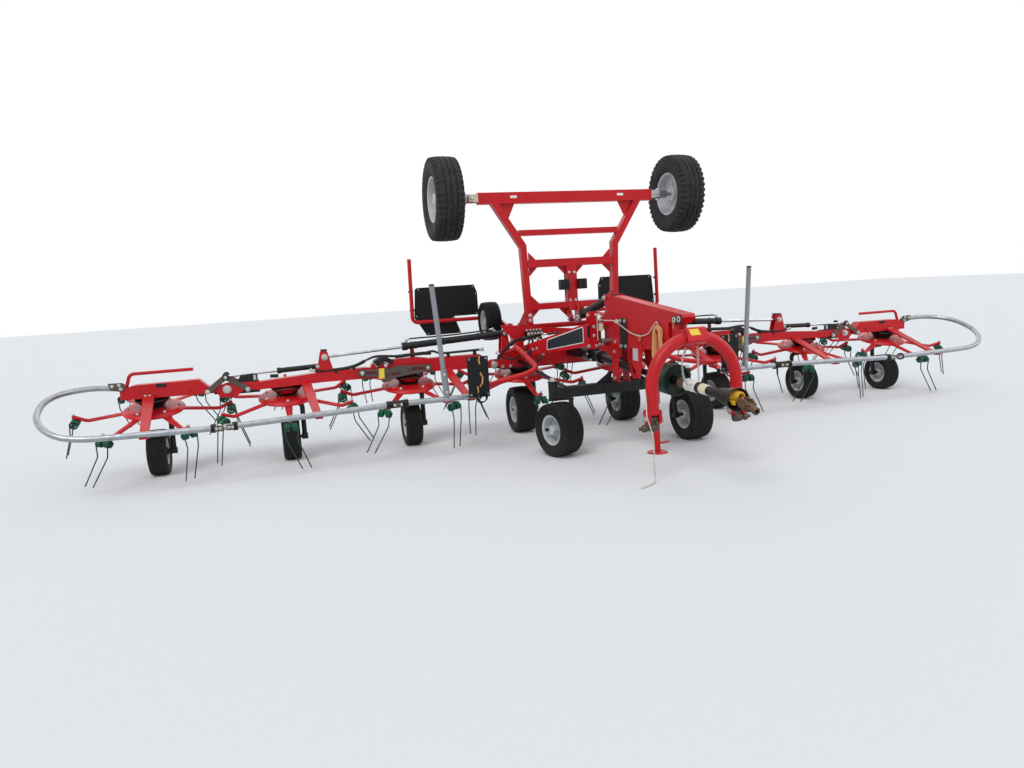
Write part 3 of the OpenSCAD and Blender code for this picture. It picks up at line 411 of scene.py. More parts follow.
class Form:
    """Collects the faces of one piece, in millimetres about the rotor line."""

    def __init__(self):
        self.verts, self.faces, self.keys, self.names = [], [], [], []

    def grid(self, rings, mat, at=None, loop=False, close=True):
        """Skins a list of equal rings of points. close joins each ring's end to its start."""
        base, n, m = len(self.verts), len(rings), len(rings[0])
        at = at or Matrix()
        self.verts += [at @ Vector(p) for ring in rings for p in ring]
        faces = []
        for i in range(n if loop else n - 1):
            a, b = i * m, (i + 1) % n * m
            for k in range(m if close else m - 1):
                j = (k + 1) % m
                faces.append((a + k, a + j, b + j, b + k))
        if close and not loop:
            faces += [tuple(range(m - 1, -1, -1)), tuple(range((n - 1) * m, n * m))]
        if mat not in self.names:
            self.names.append(mat)
        self.faces += [tuple(base + i for i in f) for f in faces]
        self.keys += [self.names.index(mat)] * len(faces)
        return self

    def tube(self, path, radius, mat, sides=16, at=None, closed=False, wide=None, dome=False):
        """Sweeps a round or oval section along a path of points."""
        path = [Vector(p) for p in path]
        radii = radius if hasattr(radius, "__len__") else [radius] * len(path)
        rings = [[p + a * (w * x) + b * (r * y) for x, y in circle(sides)]
                 for p, (a, b), r, w in zip(path, frames(path, closed), radii, wide or radii)]
        if dome:
            for end, after in ((0, 1), (-1, -2)):
                p, away = path[end], (path[end] - path[after]).normalized()
                extra = [[p + (v - p) * (cos(q) + 0.02) + away * (sin(q) * radii[end] * 0.6)
                          for v in rings[end]] for q in (pi / 4, 0.425 * pi, pi / 2)]
                rings = extra[::-1] + rings if end == 0 else rings + extra
        return self.grid(rings, mat, at, loop=closed)

    def lathe(self, profile, mat, at=None, sides=40, loop=True):
        """Turns a profile of (radius, height) points about Z."""
        return self.grid([[(r * x, r * y, z) for x, y in circle(sides)] for r, z in profile], mat,
                         at, loop)

    def slab(self, outline, depth, mat, at=None, chamfer=1.5):
        """A flat plate with chamfered edges: an XY outline, centred on Z = 0."""
        pts = [Vector(p[:2]) for p in outline]
        if sum(a.x * b.y - b.x * a.y for a, b in zip(pts, pts[1:] + pts[:1])) < 0:
            pts.reverse()
        small = []
        for before, p, after in zip(pts[-1:] + pts[:-1], pts, pts[1:] + pts[:1]):
            u, v = (p - before).normalized(), (after - p).normalized()
            inward = Vector((-u.y, u.x))
            middle = inward + Vector((-v.y, v.x))
            if middle.length < 0.3:
                small.append(p + inward * chamfer)
            else:
                middle.normalize()
                small.append(p + middle * (chamfer / max(0.35, middle.dot(inward))))
        h = depth / 2
        c = min(chamfer, h * 0.9)
        levels = ((small, -h), (pts, c - h), (pts, h - c), (small, h))
        return self.grid([[(p.x, p.y, z) for p in ring] for ring, z in levels], mat, at)

    def xz(self, points, y, depth, mat, chamfer=1.2):
        """A plate across Y."""
        return self.slab(points, depth, mat, move(0, y, 0) @ XZ, chamfer)

    def yz(self, points, x, depth, mat, chamfer=1.2):
        """A plate across X."""
        return self.slab(points, depth, mat, move(x, 0, 0) @ YZ, chamfer)

    def box(self, centre, size, mat, at=None, chamfer=2.0):
        x, y = size[0] / 2, size[1] / 2
        m = (at or Matrix()) @ move(*centre)
        return self.slab([(-x, -y), (x, -y), (x, y), (-x, y)], size[2], mat, m, chamfer)

    def disc(self, at, r, h, mat, edge=1.2, sides=32, hole=0.0):
        """A short round boss from Z = 0 to h, with a softened rim."""
        e = min(edge, h * 0.45)
        profile = [(r - e, 0), (r, e), (r, h - e), (r - e, h)]
        if hole:
            profile = [(hole, 0), *profile, (hole, h)]
        return self.lathe(profile, mat, at, sides, loop=bool(hole))

    def bolt(self, where, along=FRONT, size=16.0, mat="zinc", washer=True, stud=0.0):
        """A hexagon head on a washer, its Z along the given way."""
        at, lift = facing(where, along), size * WASHER_H if washer else 0.0
        if washer:
            self.disc(at, size * WASHER_R, lift, mat, 0.6, 24)
        top = lift + size * HEAD_H
        self.grid([[(x, y, z) for x, y in circle(6, k * size * HEAD_R)]
                   for k, z in ((1, lift), (1, top), (0.84, lift + size * 0.62))], mat, at)
        if stud:
            self.disc(at @ move(0, 0, top), size * 0.42, stud, mat, 1.0, 16)
        return self

    def fronts(self, s, y, size, *places, mat="zinc"):
        """Bolts that look forwards, at each (x, z) on side s."""
        for x, z in places:
            self.bolt((s * x, y, z), FRONT, size, mat)

    def pin(self, where, r, mat="zinc", along=FRONT, nut=None):
        """A washer and a nut on the end of a hinge pin."""
        at = facing(where, along)
        self.disc(at, r, 4, mat, 1.0)
        self.bolt(at @ Vector((0, 0, 4)), along, nut or r * 0.95, mat, False, 5)

    def ring(self, at, radius, thick, mat, sides=40, section=12):
        path = [Vector((x, y, 0)) for x, y in circle(sides, radius)]
        return self.tube(path, thick, mat, section, at, closed=True)

    def patch(self, points, mat, lift=0.8):
        """A thin sticker between four corner points."""
        a, b, c, d = (Vector(p) for p in points)
        m = facing(a, (b - a).cross(d - a), b - a)
        inv = m.inverted()
        return self.slab([(inv @ p).xy for p in (a, b, c, d)], 2 * lift, mat, m, 0.3)

    def hose(self, points, d=16, mat="hose"):
        """A hose with a ferrule and a nut at either end."""
        path = spline(points)
        self.tube(path, d / 2, mat, 12)
        for a, b in (path[:2], path[:-3:-1]):
            self.disc(facing(a, b - a), d * 0.66, 34, "zinc", 1.5, 16)
            self.bolt(a, a - b, d * 1.25, "zinc", False)

    def build(self, name, body, replaces=(), slot=None):
        mesh = bpy.data.meshes.new(name)
        mesh.from_pydata([metres(v) for v in self.verts], [], self.faces)
        for key in self.names:
            mesh.materials.append(MATS[key])
        mesh.polygons.foreach_set("material_index", self.keys)
        smooth(mesh, 34)
        obj = add_object(name, mesh)
        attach(obj, body)
        if replaces:
            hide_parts(*replaces)
        return obj


def smooth(mesh, sharp):
    """Smooth shading, with edges kept where faces meet at more than sharp degrees."""
    mesh.shade_smooth()
    mesh.set_sharp_from_angle(angle=radians(sharp))
    mesh.update()


# ---------------------------------------------------------------- cords

ROPE_D = 10
ROPE = [(-222, -1030, 1150), (-160, -1080, 1150), (-100, -1150, 1141), (-72, -1260, 1136),
        (-66, -1400, 1090), (-66, -1550, 1046), (-66, -1720, 1024), (-66, -1870, 1050),
        (-68, -1940, 1097), (-69, -2009, 1143), (-69, -2020, 1146), (-69, -2034, 1140),
        (-69, -2040, 1127), (-69, -2040, 1116)]
LEG = [(-406, -2450, 660), (-414, -2468, 620), (-424, -2490, 560), (-430, -2505, 500),
       (-414, -2515, 430), (-392, -2515, 340), (-380, -2500, 240), (-372, -2480, 140),
       (-366, -2470, 60), (-372, -2480, 14), (-410, -2520, 6), (-470, -2560, 6), (-540, -2590, 6)]
HANK_X, HANK_Y, HANK_Z = -69, -2040, 960
HANK_LAPS, HANK_TOP, LANE_W = 9, 104, 10.6


def rope_form(path, mat, strands=3, pitch=42.0, sides=12):
    """A laid rope, whose strands wind round the path."""
    run, rings = 0.0, []
    for i, (p, (a, b)) in enumerate(zip(path, frames(path))):
        run += (p - path[i - 1]).length if i else 0.0
        ring = []
        for t in (tau * k / sides for k in range(sides)):
            r = ROPE_D / 2 * (0.84 + 0.16 * abs(cos(strands / 2 * (t - tau * run / pitch))))
            ring.append(p + a * (r * cos(t)) + b * (r * sin(t)))
        rings.append(ring)
    return Form().grid(rings, mat)


def hank_path():
    """Winds the rope's spare length into long hanging loops, in three layers of three lanes."""
    pts = []
    for lap in range(HANK_LAPS):
        layer, inset = lap % 3, LANE_W * (lap // 3)
        after = (lap + 1) % 3 if lap < HANK_LAPS - 1 else layer
        top, low = 57 - inset, (62, 78, 68)[layer] - inset
        sway, drop = (4, -14, 12)[layer], (150, 164, 140)[layer] - inset
        straight = HANK_TOP + drop - low
        for u in (k / 48 for k in range(48)):
            if 0.125 <= u < 0.375:
                f = 4 * u - 0.5
                y, z = top + (sway + low - top) * f, HANK_TOP - straight * f
            elif 0.375 <= u < 0.625:
                a = 4 * pi * (u - 0.375)
                y, z = sway + low * cos(a), low - drop - low * sin(a)
            elif 0.625 <= u < 0.875:
                f = 4 * u - 2.5
                y, z = sway - low + (low - top - sway) * f, low - drop + straight * f
            else:
                a = 4 * pi * (u if u < 0.5 else u - 1)
                y, z = top * sin(a), HANK_TOP + top * cos(a)
            f = min(1.0, max(0.0, (u - 0.62) / 0.3))
            f = f * f * (3 - 2 * f)
            pts.append(Vector((HANK_X + 8.5 - LANE_W * (layer + (after - layer) * f), HANK_Y + y,
                               HANK_Z + z)))
    for _ in range(3):
        inner = [(a + b * 2 + c) / 4 for a, b, c in zip(pts, pts[1:], pts[2:])]
        pts = pts[:1] + inner + pts[-1:]
    return pts


def cord(name, body, form, replaces=()):
    """Builds a free cord."""
    piece = form.build(name, body, replaces)


def make_ropes():
    route = spline(ROPE, 8)
    cord("pull_rope", "chassis", rope_form(route, "rope"), ["rope"])
    route = hank_path()
    cord("rope_hank", "chassis", rope_form(route, "twine"), ["hank"])
    route = spline(LEG, 8)
    cord("leg_cord", "headstock", rope_form(route, "rope"), ["leg_rope"])


make_ropes()

# ---------------------------------------------------------------- CAD nodes


def dress(node, *keys, pick=None):
    """Gives a CAD node its finishes; pick chooses one for each face by its centre."""
    mesh = NODES[node].data
    mesh.materials.clear()
    for key in keys:
        mesh.materials.append(MATS[key])
    n = len(mesh.polygons)
    chosen = [0] * n
    if pick:
        mids = np.zeros(n * 3)
        mesh.polygons.foreach_get("center", mids)
        chosen = [int(pick(*p)) for p in mids.reshape(n, 3) / MM - np.array([0, LINE_Y, 0])]
    mesh.polygons.foreach_set("material_index", chosen)
    smooth(mesh, 30)


def under_beam(_, y, z):
    return z < BEAM_LOW and y > -152


def wing_pick(x, y, z):
    if y >= BEAM_FRONT - 1 and z <= BEAM_LOW:
        return 1
    return 2 if abs(abs(x) - FLOAT_X) < 440 and -145 < y < BEAM_FRONT - 1 and z > 730 else 0


def guard_line(x):
    """Height of the guard's tube, which falls outside its knee."""
    knee = FLOAT_X + 38
    return GUARD_Z if x < knee else GUARD_Z - 45 * (x - knee) / (TIP_X + 10 - knee)


def guard_pick(x, y, z):
    x = abs(x)
    if y < GUARD_Y - 125 and 1170 < x < 1370:
        return 1
    if 1520 < x < 1610 and z > 590:
        return 2
    return FLOAT_X - 32 < x < FLOAT_X + 103 and hypot(y - GUARD_Y, z - guard_line(x)) > 27


def underframe_pick(x, y, z):
    if y < -1930 and hypot(x, z - 696) > 60:
        return 1
    return 2 if 40 < abs(x) < 60 and abs(y - FRAME_Y) < 62 and z > 592 else 0


def frame_pick(x, y, z):
    if 49 < abs(x) < 143 and (y < -141 or 1425 < z < 1535):
        return 1
    return 2 if abs(x) > 1000 else 0


def cradle_pick(x, y, z):
    return x < -592 and 330 < y < 460 and abs(z - 1140) < 60


def hook_pick(x, y, z):
    return abs(abs(x) - LEG_X) > 56 and z < 490 and y < -2400


for key, nodes in (("red", "tower arms jack"), ("black", "hoses lift_barrel"),
                   ("board", "light_boards"), ("chrome", "lift_rod"), ("hook", "hitch_hooks")):
    for node in nodes.split():
        dress(node, key)
dress("centre_beam", "red", "black", pick=under_beam)
dress("cradle", "red", "black", pick=cradle_pick)
dress("underframe", "black", "bell", "red", pick=underframe_pick)
dress("transport_frame", "red", "board", "steel", pick=frame_pick)
dress("headstock", "red", "zinc", pick=hook_pick)
for s, q in SIDES:
    dress(f"wing_beam_{q}", "red", "black", "brown", pick=wing_pick)
    dress(f"outer_beam_{q}", "red", "black", pick=under_beam)
    dress(f"wing_guard_{q}", "galv", "board", "grey", pick=guard_pick)
    for key, nodes in (("black", "fork wing_barrel outer_barrel"), ("chrome", "wing_rod outer_rod"),
                       ("brown", "rocker link")):
        for node in nodes.split():
            dress(f"{node}_{q}", key)

# ---------------------------------------------------------------- wheels

BORE_R = 15
# Diameter of a rim as a share of its tyre's
RIM_SHARE, ROAD_RIM_SHARE = 0.53, 0.52
# Sidewall from the bead to the shoulder: share of the width, share of the height
SIDEWALL = ((0.37, 0.0), (0.405, 0.05), (0.452, 0.2), (0.483, 0.38), (0.496, 0.56), (0.492, 0.72),
            (0.474, 0.86), (0.44, 0.945))
TREAD = 0.40


def tyre_profile(w, r_in, r_out, grooves, groove_w, deep):
    """The whole section as (across, radius, sway, lug) from one bead to the other."""
    left = [(-a * w, r_in + (r_out - r_in) * b, 0.0, 1.0 if k > 5 else 0.0)
            for k, (a, b) in enumerate(SIDEWALL)]
    edge = TREAD * w

    def crown(y):
        return r_out * (1 - 0.020 * (abs(y) / edge) ** 2.2)

    tread = [(-edge, crown(edge), 0.0, 0.7)]
    for k in range(grooves):
        y = edge * (-1 + 2 * (k + 1) / (grooves + 1)) * 0.98
        g, r = groove_w / 2, crown(y)
        tread += [(y + g * a, r - deep * b, 1.0, 0.0)
                  for a, b in ((-1, 0), (-0.55, 1), (0.55, 1), (1, 0))]
    tread.append((edge, crown(edge), 0.0, 0.7))
    return left + tread + [(-a, r, s, g) for a, r, s, g in reversed(left)]


def tyre(form, at, w, r_in, r_out, mat, grooves, groove_w, deep, waves, sway, lugs=0, lug_deep=0.0,
         sides=96):
    """A tyre about X, whose grooves run in waves and whose shoulders carry lugs."""
    profile = tyre_profile(w, r_in, r_out, grooves, groove_w, deep)
    rings = []
    for k in range(sides):
        t = tau * k / sides
        cut = lug_deep if lugs and (k * lugs * 2 // sides) % 2 else 0.0
        ring = []
        for y, r, sw, lug in profile:
            y += sway * sin(waves * t) * sw - (copysign(cut * lug * 0.5, y) if lug else 0.0)
            r -= cut * lug
            ring.append((y, r * cos(t), r * sin(t)))
        rings.append(ring)
    form.grid(rings, mat, at, loop=True, close=False)
    across, up = zip(*SIDEWALL)
    for sign in (-1, 1):
        for f, thick in ((0.30, 1.6), (0.66, 1.3)):
            rib = at @ turn(90, "Y") @ move(0, 0, sign * (np.interp(f, up, across) * w - 0.4))
            form.ring(rib, r_in + (r_out - r_in) * f, thick, mat, 64, 6)


def rim(form, at, w, r, d, hub_r, hub_len, nuts=5, bolt_r=None):
    """A steel rim about X: flanges, well, dished disc at d with nuts, and its hub."""
    out = at @ turn(90, "Y")
    b = 0.37 * w
    half = [(r - 20, b * 0.35), (r - 3, b * 0.55), (r - 2, b - 2), (r + 6, b), (r + 11, b + 6),
            (r + 9, b + 8), (r + 4, b + 3), (r - 7, b + 1), (r - 8, b - 6)]
    form.lathe([(x, -y) for x, y in half[::-1]] + half + [(r - 24, b * 0.4), (r - 24, -b * 0.4)],
               "rim", out, 64)
    form.lathe([(hub_r - 4, d + 5), (r * 0.50, d + 5), (r * 0.56, d + 9), (r * 0.72, d + 2),
                (r - 22, d - 3), (r - 21, d - 10), (r * 0.72, d - 5), (r * 0.56, d + 2),
                (r * 0.50, d - 4), (hub_r - 4, d - 4)], "rim", out, 64)
    for side in (-1, 1):
        end = out @ move(0, 0, side * hub_len / 2)
        form.lathe([(BORE_R, 0), (hub_r - 3, 0), (hub_r, -3 * side), (hub_r, -side * hub_len / 2)],
                   "rim", end, loop=False)
    for x, y in circle(nuts, bolt_r or r * 0.40):
        for side in (-1, 1):
            form.bolt(out @ Vector((x, y, d + side * 5)), out.to_3x3() @ Vector((0, 0, side)), 13,
                      stud=4)


def field_wheel(name, body, node, at, size, sway, waves, grooves):
    d, w = size
    form = Form()
    r = RIM_SHARE * d / 2
    tyre(form, at, w, r + 4, d / 2, "tyre", grooves, 5.5, 4.5, waves, sway)
    rim(form, at, w, r, 0, 40, w - 40)
    form.lathe([(BORE_R, -1), (34, -1), (38, 4), (34, 16), (26, 22), (0.5, 23)], "guard",
               at @ move(w / 2 - 22, 0, 0) @ turn(90, "Y"), 32, loop=False)
    form.build(name, body, [node])


def road_wheel(s, q):
    d, w = ROAD
    at = move(s * 1265, AXLE_Y, AXLE_Z) @ (Matrix() if s > 0 else turn(180, "Z"))
    form = Form()
    r = ROAD_RIM_SHARE * d / 2
    tyre(form, at, w, r + 5, d / 2, "road", 3, 13, 9, 30, 6.5, 42, 13.0, 252)
    rim(form, at, w, r, -24, 72, 120, nuts=6, bolt_r=102)
    form.lathe([(BORE_R, 0), (58, 0), (62, 5), (60, 34), (50, 44), (0.5, 46)], "rim",
               at @ move(48, 0, 0) @ turn(90, "Y"), 40, loop=False)
    form.build(f"road_wheel_{q}", f"transport_wheel_{q}", [f"transport_wheel_{q}"])


for i in range(1, 9):
    inner = i in (4, 5)
    size = LARGE if inner else SMALL
    field_wheel(f"field_wheel_{i}", f"wheel_{i}", f"wheel_{i}", move(rotor_x(i), 0, size[0] / 2),
                size, 2.5 if inner else 0.0, 24, 5 if inner else 7)
for s, q in SIDES:
    at = move(s * FORK_X, FRAME_Y, 0) @ turn(0 if s > 0 else 15, "Z") @ move(0, -60, 235)
    field_wheel(f"caster_wheel_{q}", f"front_wheel_{q}", f"front_wheel_{q}", at, LARGE, 3.5, 22, 5)
field_wheel("stored_wheel", "chassis", "spare_wheel", move(-730, 452, 1140), SMALL, 0.0, 24, 7)
for s, q in SIDES:
    road_wheel(s, q)

# ---------------------------------------------------------------- rotors

COIL_R, COIL_Z = 645, -88
ARM_Z, ARM_TOP = -74, -26
TINE_R = 5.25
COIL_MEAN_R, COIL_TURNS, COIL_STEPS = 38 - TINE_R, 3.5, 63
COIL_INNER, COIL_OUTER = 13.0, 56
DISH = [(31, -46), (74, -46), (80, -14), (222, -8), (240, -18), (250, -33), (259, -35), (262, -31),
        (258, -22), (250, -12), (232, -2), (224, 0), (150, 4), (84, 6), (78, 2), (70, 18), (31, 18)]


def tine_pair(form, at, hand):
    """Two coils wound from one wire, whose legs run down to the tips."""
    wire = COIL_R + COIL_MEAN_R
    for s in (-1, 1):
        path = []
        for f in (k / COIL_STEPS for k in range(COIL_STEPS + 1)):
            t = pi * f * (2 * COIL_TURNS + 1)
            path.append((COIL_R - COIL_MEAN_R * cos(t),
                         s * (COIL_INNER + (COIL_OUTER - COIL_INNER) * f),
                         COIL_Z + COIL_MEAN_R * sin(t)))
        form.tube(path, TINE_R, "coil", 8, at)
        leg = [(wire, s * COIL_OUTER, COIL_Z + 12), (wire, s * 55, COIL_Z - 8),
               (wire + 12, s * 46, COIL_Z - 105), (COIL_R + 135, s * 38 + hand * 100, -430)]
        form.tube(rounded(leg, 60, 9), TINE_R, "tine", 8, at, dome=True)
        form.disc(at @ facing((COIL_R, s * 6, COIL_Z), (0, s, 0)), 17, 40, "tine", 1.0, 20)
    x = COIL_R - COIL_MEAN_R
    form.tube([(x, -17, COIL_Z), (x - 2, 0, COIL_Z + 1), (x, 17, COIL_Z)], TINE_R, "coil", 8, at)
    form.box((COIL_R, 0, (COIL_Z + ARM_TOP) / 2 + 2), (24, 18, ARM_TOP - COIL_Z), "coil", at, 2.5)
    form.bolt(at @ Vector((COIL_R, 0, ARM_TOP + 16)), at.to_3x3() @ Vector(UP), 15)


def make_rotor(i):
    even = i % 2 == 0
    at = move(rotor_x(i), 0, PLATE_Z) @ turn(TILT, "X")
    form = Form()
    form.lathe(DISH, "red", at, 72)
    form.disc(at @ move(0, 0, 4), 92, 9, "black", 2, 40, hole=70)
    for k in range(6):
        m = at @ turn((30 if even else 0) + 60 * k, "Z")
        path = rounded([(64, 0, -20), (545, 0, ARM_Z), (652, 0, -24)], 90, 7)
        path = [path[0].lerp(path[1], j / 8) for j in range(8)] + path[1:]
        flat = [min(1.0, max(0.0, (p.x - 220) / 330)) for p in path]
        form.tube(path, [12.5 + 3.5 * f for f in flat], "red", 18, m,
                  wide=[36 - 18 * f for f in flat], dome=True)
        form.bolt(m @ Vector((214, 0, 1.5)), m.to_3x3() @ Vector(UP), 17, stud=5)
        tine_pair(form, m, 1 if even else -1)
    form.build(f"tine_rotor_{i}", f"rotor_{i}", [f"rotor_{i}"])


for i in range(1, 9):
    make_rotor(i)

# ---------------------------------------------------------------- details


def round_rect(x0, y0, x1, y1, r, n=5):
    out = []
    for cx, cy, a in ((x1 - r, y1 - r, 0), (x0 + r, y1 - r, 90), (x0 + r, y0 + r, 180),
                      (x1 - r, y0 + r, 270)):
        turns = [radians(a + 90 * k / n) for k in range(n + 1)]
        out += [(cx + r * cos(t), cy + r * sin(t)) for t in turns]
    return out


def drive_shaft():
    form = Form()
    a, b, c = Vector((0, -2352, 682)), Vector((0, -2560, 670)), Vector((0, -2800, 655))
    form.tube([(0, KINGPIN_Y, 686), (0, -2300, 684.4), a], [40, 30, 30], "rusty", 24)
    m = facing(a, b - a)
    form.lathe([(28, -4), (44, 0), (47, 6), (45, 14), (44, 60), (46, 66), (44, 72), (44, 148),
                (41, 152), (28, 152)], "white", m, 48)
    form.lathe([(26, 150), (42, 152), (43, 160), (41, 168), (43, 176), (41, 184), (43, 192),
                (38, 196), (26, 196)], "guard", m, 48)
    m = facing(b, c - b)
    form.lathe([(22, -14), (38, -12), (39, -6), (38.5, 74), (36, 80), (22, 80)], "cream", m, 48)
    form.lathe([(22, 80), (35.5, 82), (35.5, 200), (34, 240), (22, 240)], "guard", m, 48)
    cone = [(40, -14), (45, -8), (48, 0)]
    for k in range(5):
        z0, r0 = 10 + 30 * k, 50 + 5 * k
        cone += [(r0 - 3, z0), (r0 + 1, z0 + 6), (r0 + 2.5, z0 + 22), (r0 - 1, z0 + 28)]
    cone += [(78, 166), (82, 190), (83, 198), (81, 200), (78, 198), (74, 170), (46, 40), (36, 10),
             (30, -10)]
    m = facing(c, c - b)
    form.lathe(cone, "guard", m, 56)
    form.lathe([(20, 60), (30, 66), (42, 110), (50, 128), (52, 150), (46, 170), (34, 184),
                (30, 236), (22, 240), (20, 240)], "yellow", m @ turn(8, "Y"), 36)
    for t in (20, 140, 260):
        form.box((0, 44, 200), (26, 16, 52), "yellow", m @ turn(t, "Z"), 5)
    # the joint's outer yoke hangs from its cross
    for s in (-1, 1):
        form.yz([(-3036, 668), (-3120, 664), (-3150, 640), (-3150, 600), (-3128, 584), (-3092, 590),
                 (-3036, 612)], s * 27, 15, "rusty", 3)
        form.bolt((s * 34, -3124, 622), (s, 0, 0), 20, "rusty")
    for ends in (((-34, -3124, 622), (34, -3124, 622)), ((0, -3124, 600), (0, -3124, 648))):
        form.tube(ends, 11, "rusty", 20)
    hub = facing((0, -3132, 612), (0, -1, -0.28))
    form.lathe([(14, -14), (24, -12), (30, 0), (26, 22), (22, 40), (27, 48), (27, 74), (24, 78),
                (15, 78)], "rusty", hub, 32)
    for s in (-1, 1):
        form.slab([(-20, -18), (10, -30), (40, -26), (40, 26), (10, 30), (-20, 18)], 12, "rusty",
                  hub @ move(s * 22, 0, -6) @ turn(90, "Y") @ turn(90, "Z"), 3)
    form.build("drive_shaft", "headstock", ["pto_shaft"], slot="guard_plastic")


def shaft_bell():
    form = Form()
    m = facing((0, -1935, 696), FRONT)
    form.lathe([(52, -6), (78, -4), (98, 18), (112, 60), (119, 130), (122, 200), (124, 254),
                (121, 258), (117, 254), (112, 140), (104, 60), (88, 22), (52, 6)], "bell", m, 64)
    for k in range(4):
        form.ring(m @ move(0, 0, 90 + 46 * k), 117 + 2 * k, 2.2, "bell", 64, 8)
    form.lathe([(34, 196), (60, 200), (96, 214), (117, 222), (117, 228), (92, 222), (58, 208),
                (34, 204)], "bell", m, 56)
    for t in range(6):
        form.box((88, 0, 226), (34, 8, 8), "bell", m @ turn(60 * t + 12, "Z"), 2)
    form.build("shaft_bell", "chassis")


def chain(form, points, link=26, bend=7):
    """Links of wire, each turned a quarter from the last."""
    path = spline(points, 10)
    run, along, k = 0.0, 0.0, 0
    for a, b in zip(path, path[1:]):
        seg, way = (b - a).length, (b - a).normalized()
        while along <= run + seg:
            m = facing(a.lerp(b, (along - run) / seg), way, (1, 0, 0)) @ turn(90 * (k % 2), "Z")
            form.tube([m @ Vector((x, 0, z + copysign(link / 2 - bend, z)))
                       for x, z in circle(12, bend, 0.2)], 2.6, "zinc", 6, closed=True)
            along += link * 0.72
            k += 1
        run += seg


def headstock_trim():
    form = Form()
    crown = move(0, HEAD_Y, 1045) @ turn(-22, "X")
    form.box((0, 0, 0), (168, 122, 118), "red", crown, 12)
    for s in (-1, 1):
        form.disc(facing((s * 84, HEAD_Y, 1045), (s, 0, 0)), 56, 10, "red", 3, 48)
    form.patch([crown @ Vector((x, -61.6, z))
                for x, z in ((-50, -8), (28, -8), (16, 40), (-62, 40))], "sticker")
    form.lathe([(20, 0), (56, 0), (58, 4), (56, 10), (50, 14), (20, 14)], "red",
               move(0, KINGPIN_Y, 1128), 48)
    form.tube(rounded([(-86, -2452, 985), (-60, -2410, 955), (60, -2410, 955), (86, -2452, 985)],
                      30), 7, "red", 12)
    for s in (-1, 1):
        for k in (-s, s):
            x = s * LEG_X + k * 55
            form.disc(facing((x, HEAD_Y, 470), (k, 0, 0)), 30, 5, "red", 1.5)
            form.bolt((x + k * 5, HEAD_Y, 470), (k, 0, 0), 24)
        form.lathe([(46.5, -14), (49, -12), (50, 0), (49, 10), (46.5, 12)], "red",
                   move(s * LEG_X, HEAD_Y, 520))
    for x in (-283, 286):
        form.ring(facing((x, HEAD_Y, 463), (1, 0, 0.2)), 26, 2.6, "zinc", 32, 8)
    chain(form, [(-66, -2440, 958), (-90, -2444, 900), (-98, -2446, 850), (-92, HEAD_Y, 760),
                 (-64, -2460, 700), (-38, -2470, 700)])
    chain(form, [(38, -2440, 958), (36, -2444, 900), (34, HEAD_Y, 820), (30, -2460, 760),
                 (26, -2466, 716)])
    # hooks: collars, ball ends and latches
    ball = [(30 * sin(t), -30 * cos(t)) for t in (pi * k / 14 for k in range(1, 14))]
    for s in (-1, 1):
        form.lathe([(15, -31), (28, -26), (33, -10), (33, 10), (28, 26), (15, 31)], "hook",
                   move(s * LEG_X, HEAD_Y, 405) @ turn(90, "Y"), 36)
        form.lathe([(1, -30), *ball, (1, 30)], "hook", move(s * 424, HEAD_Y, 405) @ turn(90, "Y"),
                   36, loop=False)
        form.tube(rounded([(s * 341, -2436, 470), (s * 332, -2478, 440), (s * 330, -2470, 400)],
                          30), 11, "hook", 14, dome=True)
    form.build("headstock_trim", "headstock")


def nose_twine():
    """A short end of twine that hangs out of the nose's guide ring."""
    route = spline([(-60, -2284, 1168), (-66, -2286, 1167), (-72, -2289, 1159), (-74, -2291, 1146),
                    (-74, -2292, 1132), (-75, -2293, 1116), (-74, -2294, 1102)])
    cord("nose_twine", "chassis", Form().tube(route, 3, "twine", 8))


def tower_side(form, s):
    x, out = s * 55, (s, 0, 0)
    form.yz([(-1336, 1165), (-1336, 906), (-1350, 892), (-1472, 898), (-1472, 1150), (-1458, 1165)],
            x + s * 4, 8, "black", 1.5)
    for y, z in ((-1358, 1140), (-1450, 1140), (-1358, 918), (-1450, 922)):
        form.bolt((x + s * 8, y, z), out, 18)
    form.disc(facing((x, -1705, 1008), out), 34, 7, "orange", 2.5, 40)
    form.ring(facing((x + s * 4, -1705, 1008), out), 34, 3, "guard", 40, 8)
    # pointed bracket that steadies the drive line, and its blank plate
    form.yz([(-1560, 935), (-1560, 782), (-1672, 660), (-1688, 662), (-1722, 760), (-1748, 905),
             (-1748, 950)], x + s * 5, 10, "red", 2)
    form.yz(round_rect(-1676, 812, -1584, 916, 4), x + s * 11, 2, "rim", 0.4)
    for y, z in ((-1670, 822), (-1590, 822), (-1670, 906), (-1590, 906)):
        form.disc(facing((x + s * 12, y, z), out), 3.2, 1.6, "zinc", 0.5, 12)
    # hose guides in the nose
    form.yz([(-2240, 1140), (-2392, 1140), (-2392, 1196), (-2384, 1208), (-2240, 1190)],
            x + s * 1.5, 3, "black", 0.8)
    for y, z in ((-2280, 1168), (-2350, 1176)):
        at = facing((x + s * 3, y, z), out)
        form.lathe([(15, 0), (22, 0), (23, 3), (21, 6), (15, 6)], "cream", at, 28)
        # a thin dark disc fills each guide's hole: painted shade inside the hole
        form.disc(at, 15, 1, "guard", 0.3, 24)
    form.pin((s * 67, -1055, 1338), 26, along=out)
    form.disc(facing((x, HANK_Y, HANK_Z + 118), out), 12, 34, "red", 2, 28)
    form.bolt((x, -1080, 960), out, 18)
    form.bolt((x, -1220, 950), out, 18)
    # weld beads along the tower's edges
    form.tube([(s * 53, -2380, 1211), (s * 53, -1200, 1356)], 3.5, "red", 8)
    form.tube([(s * 53, -2210, 931), (s * 53, -1360, 907)], 3, "red", 8)


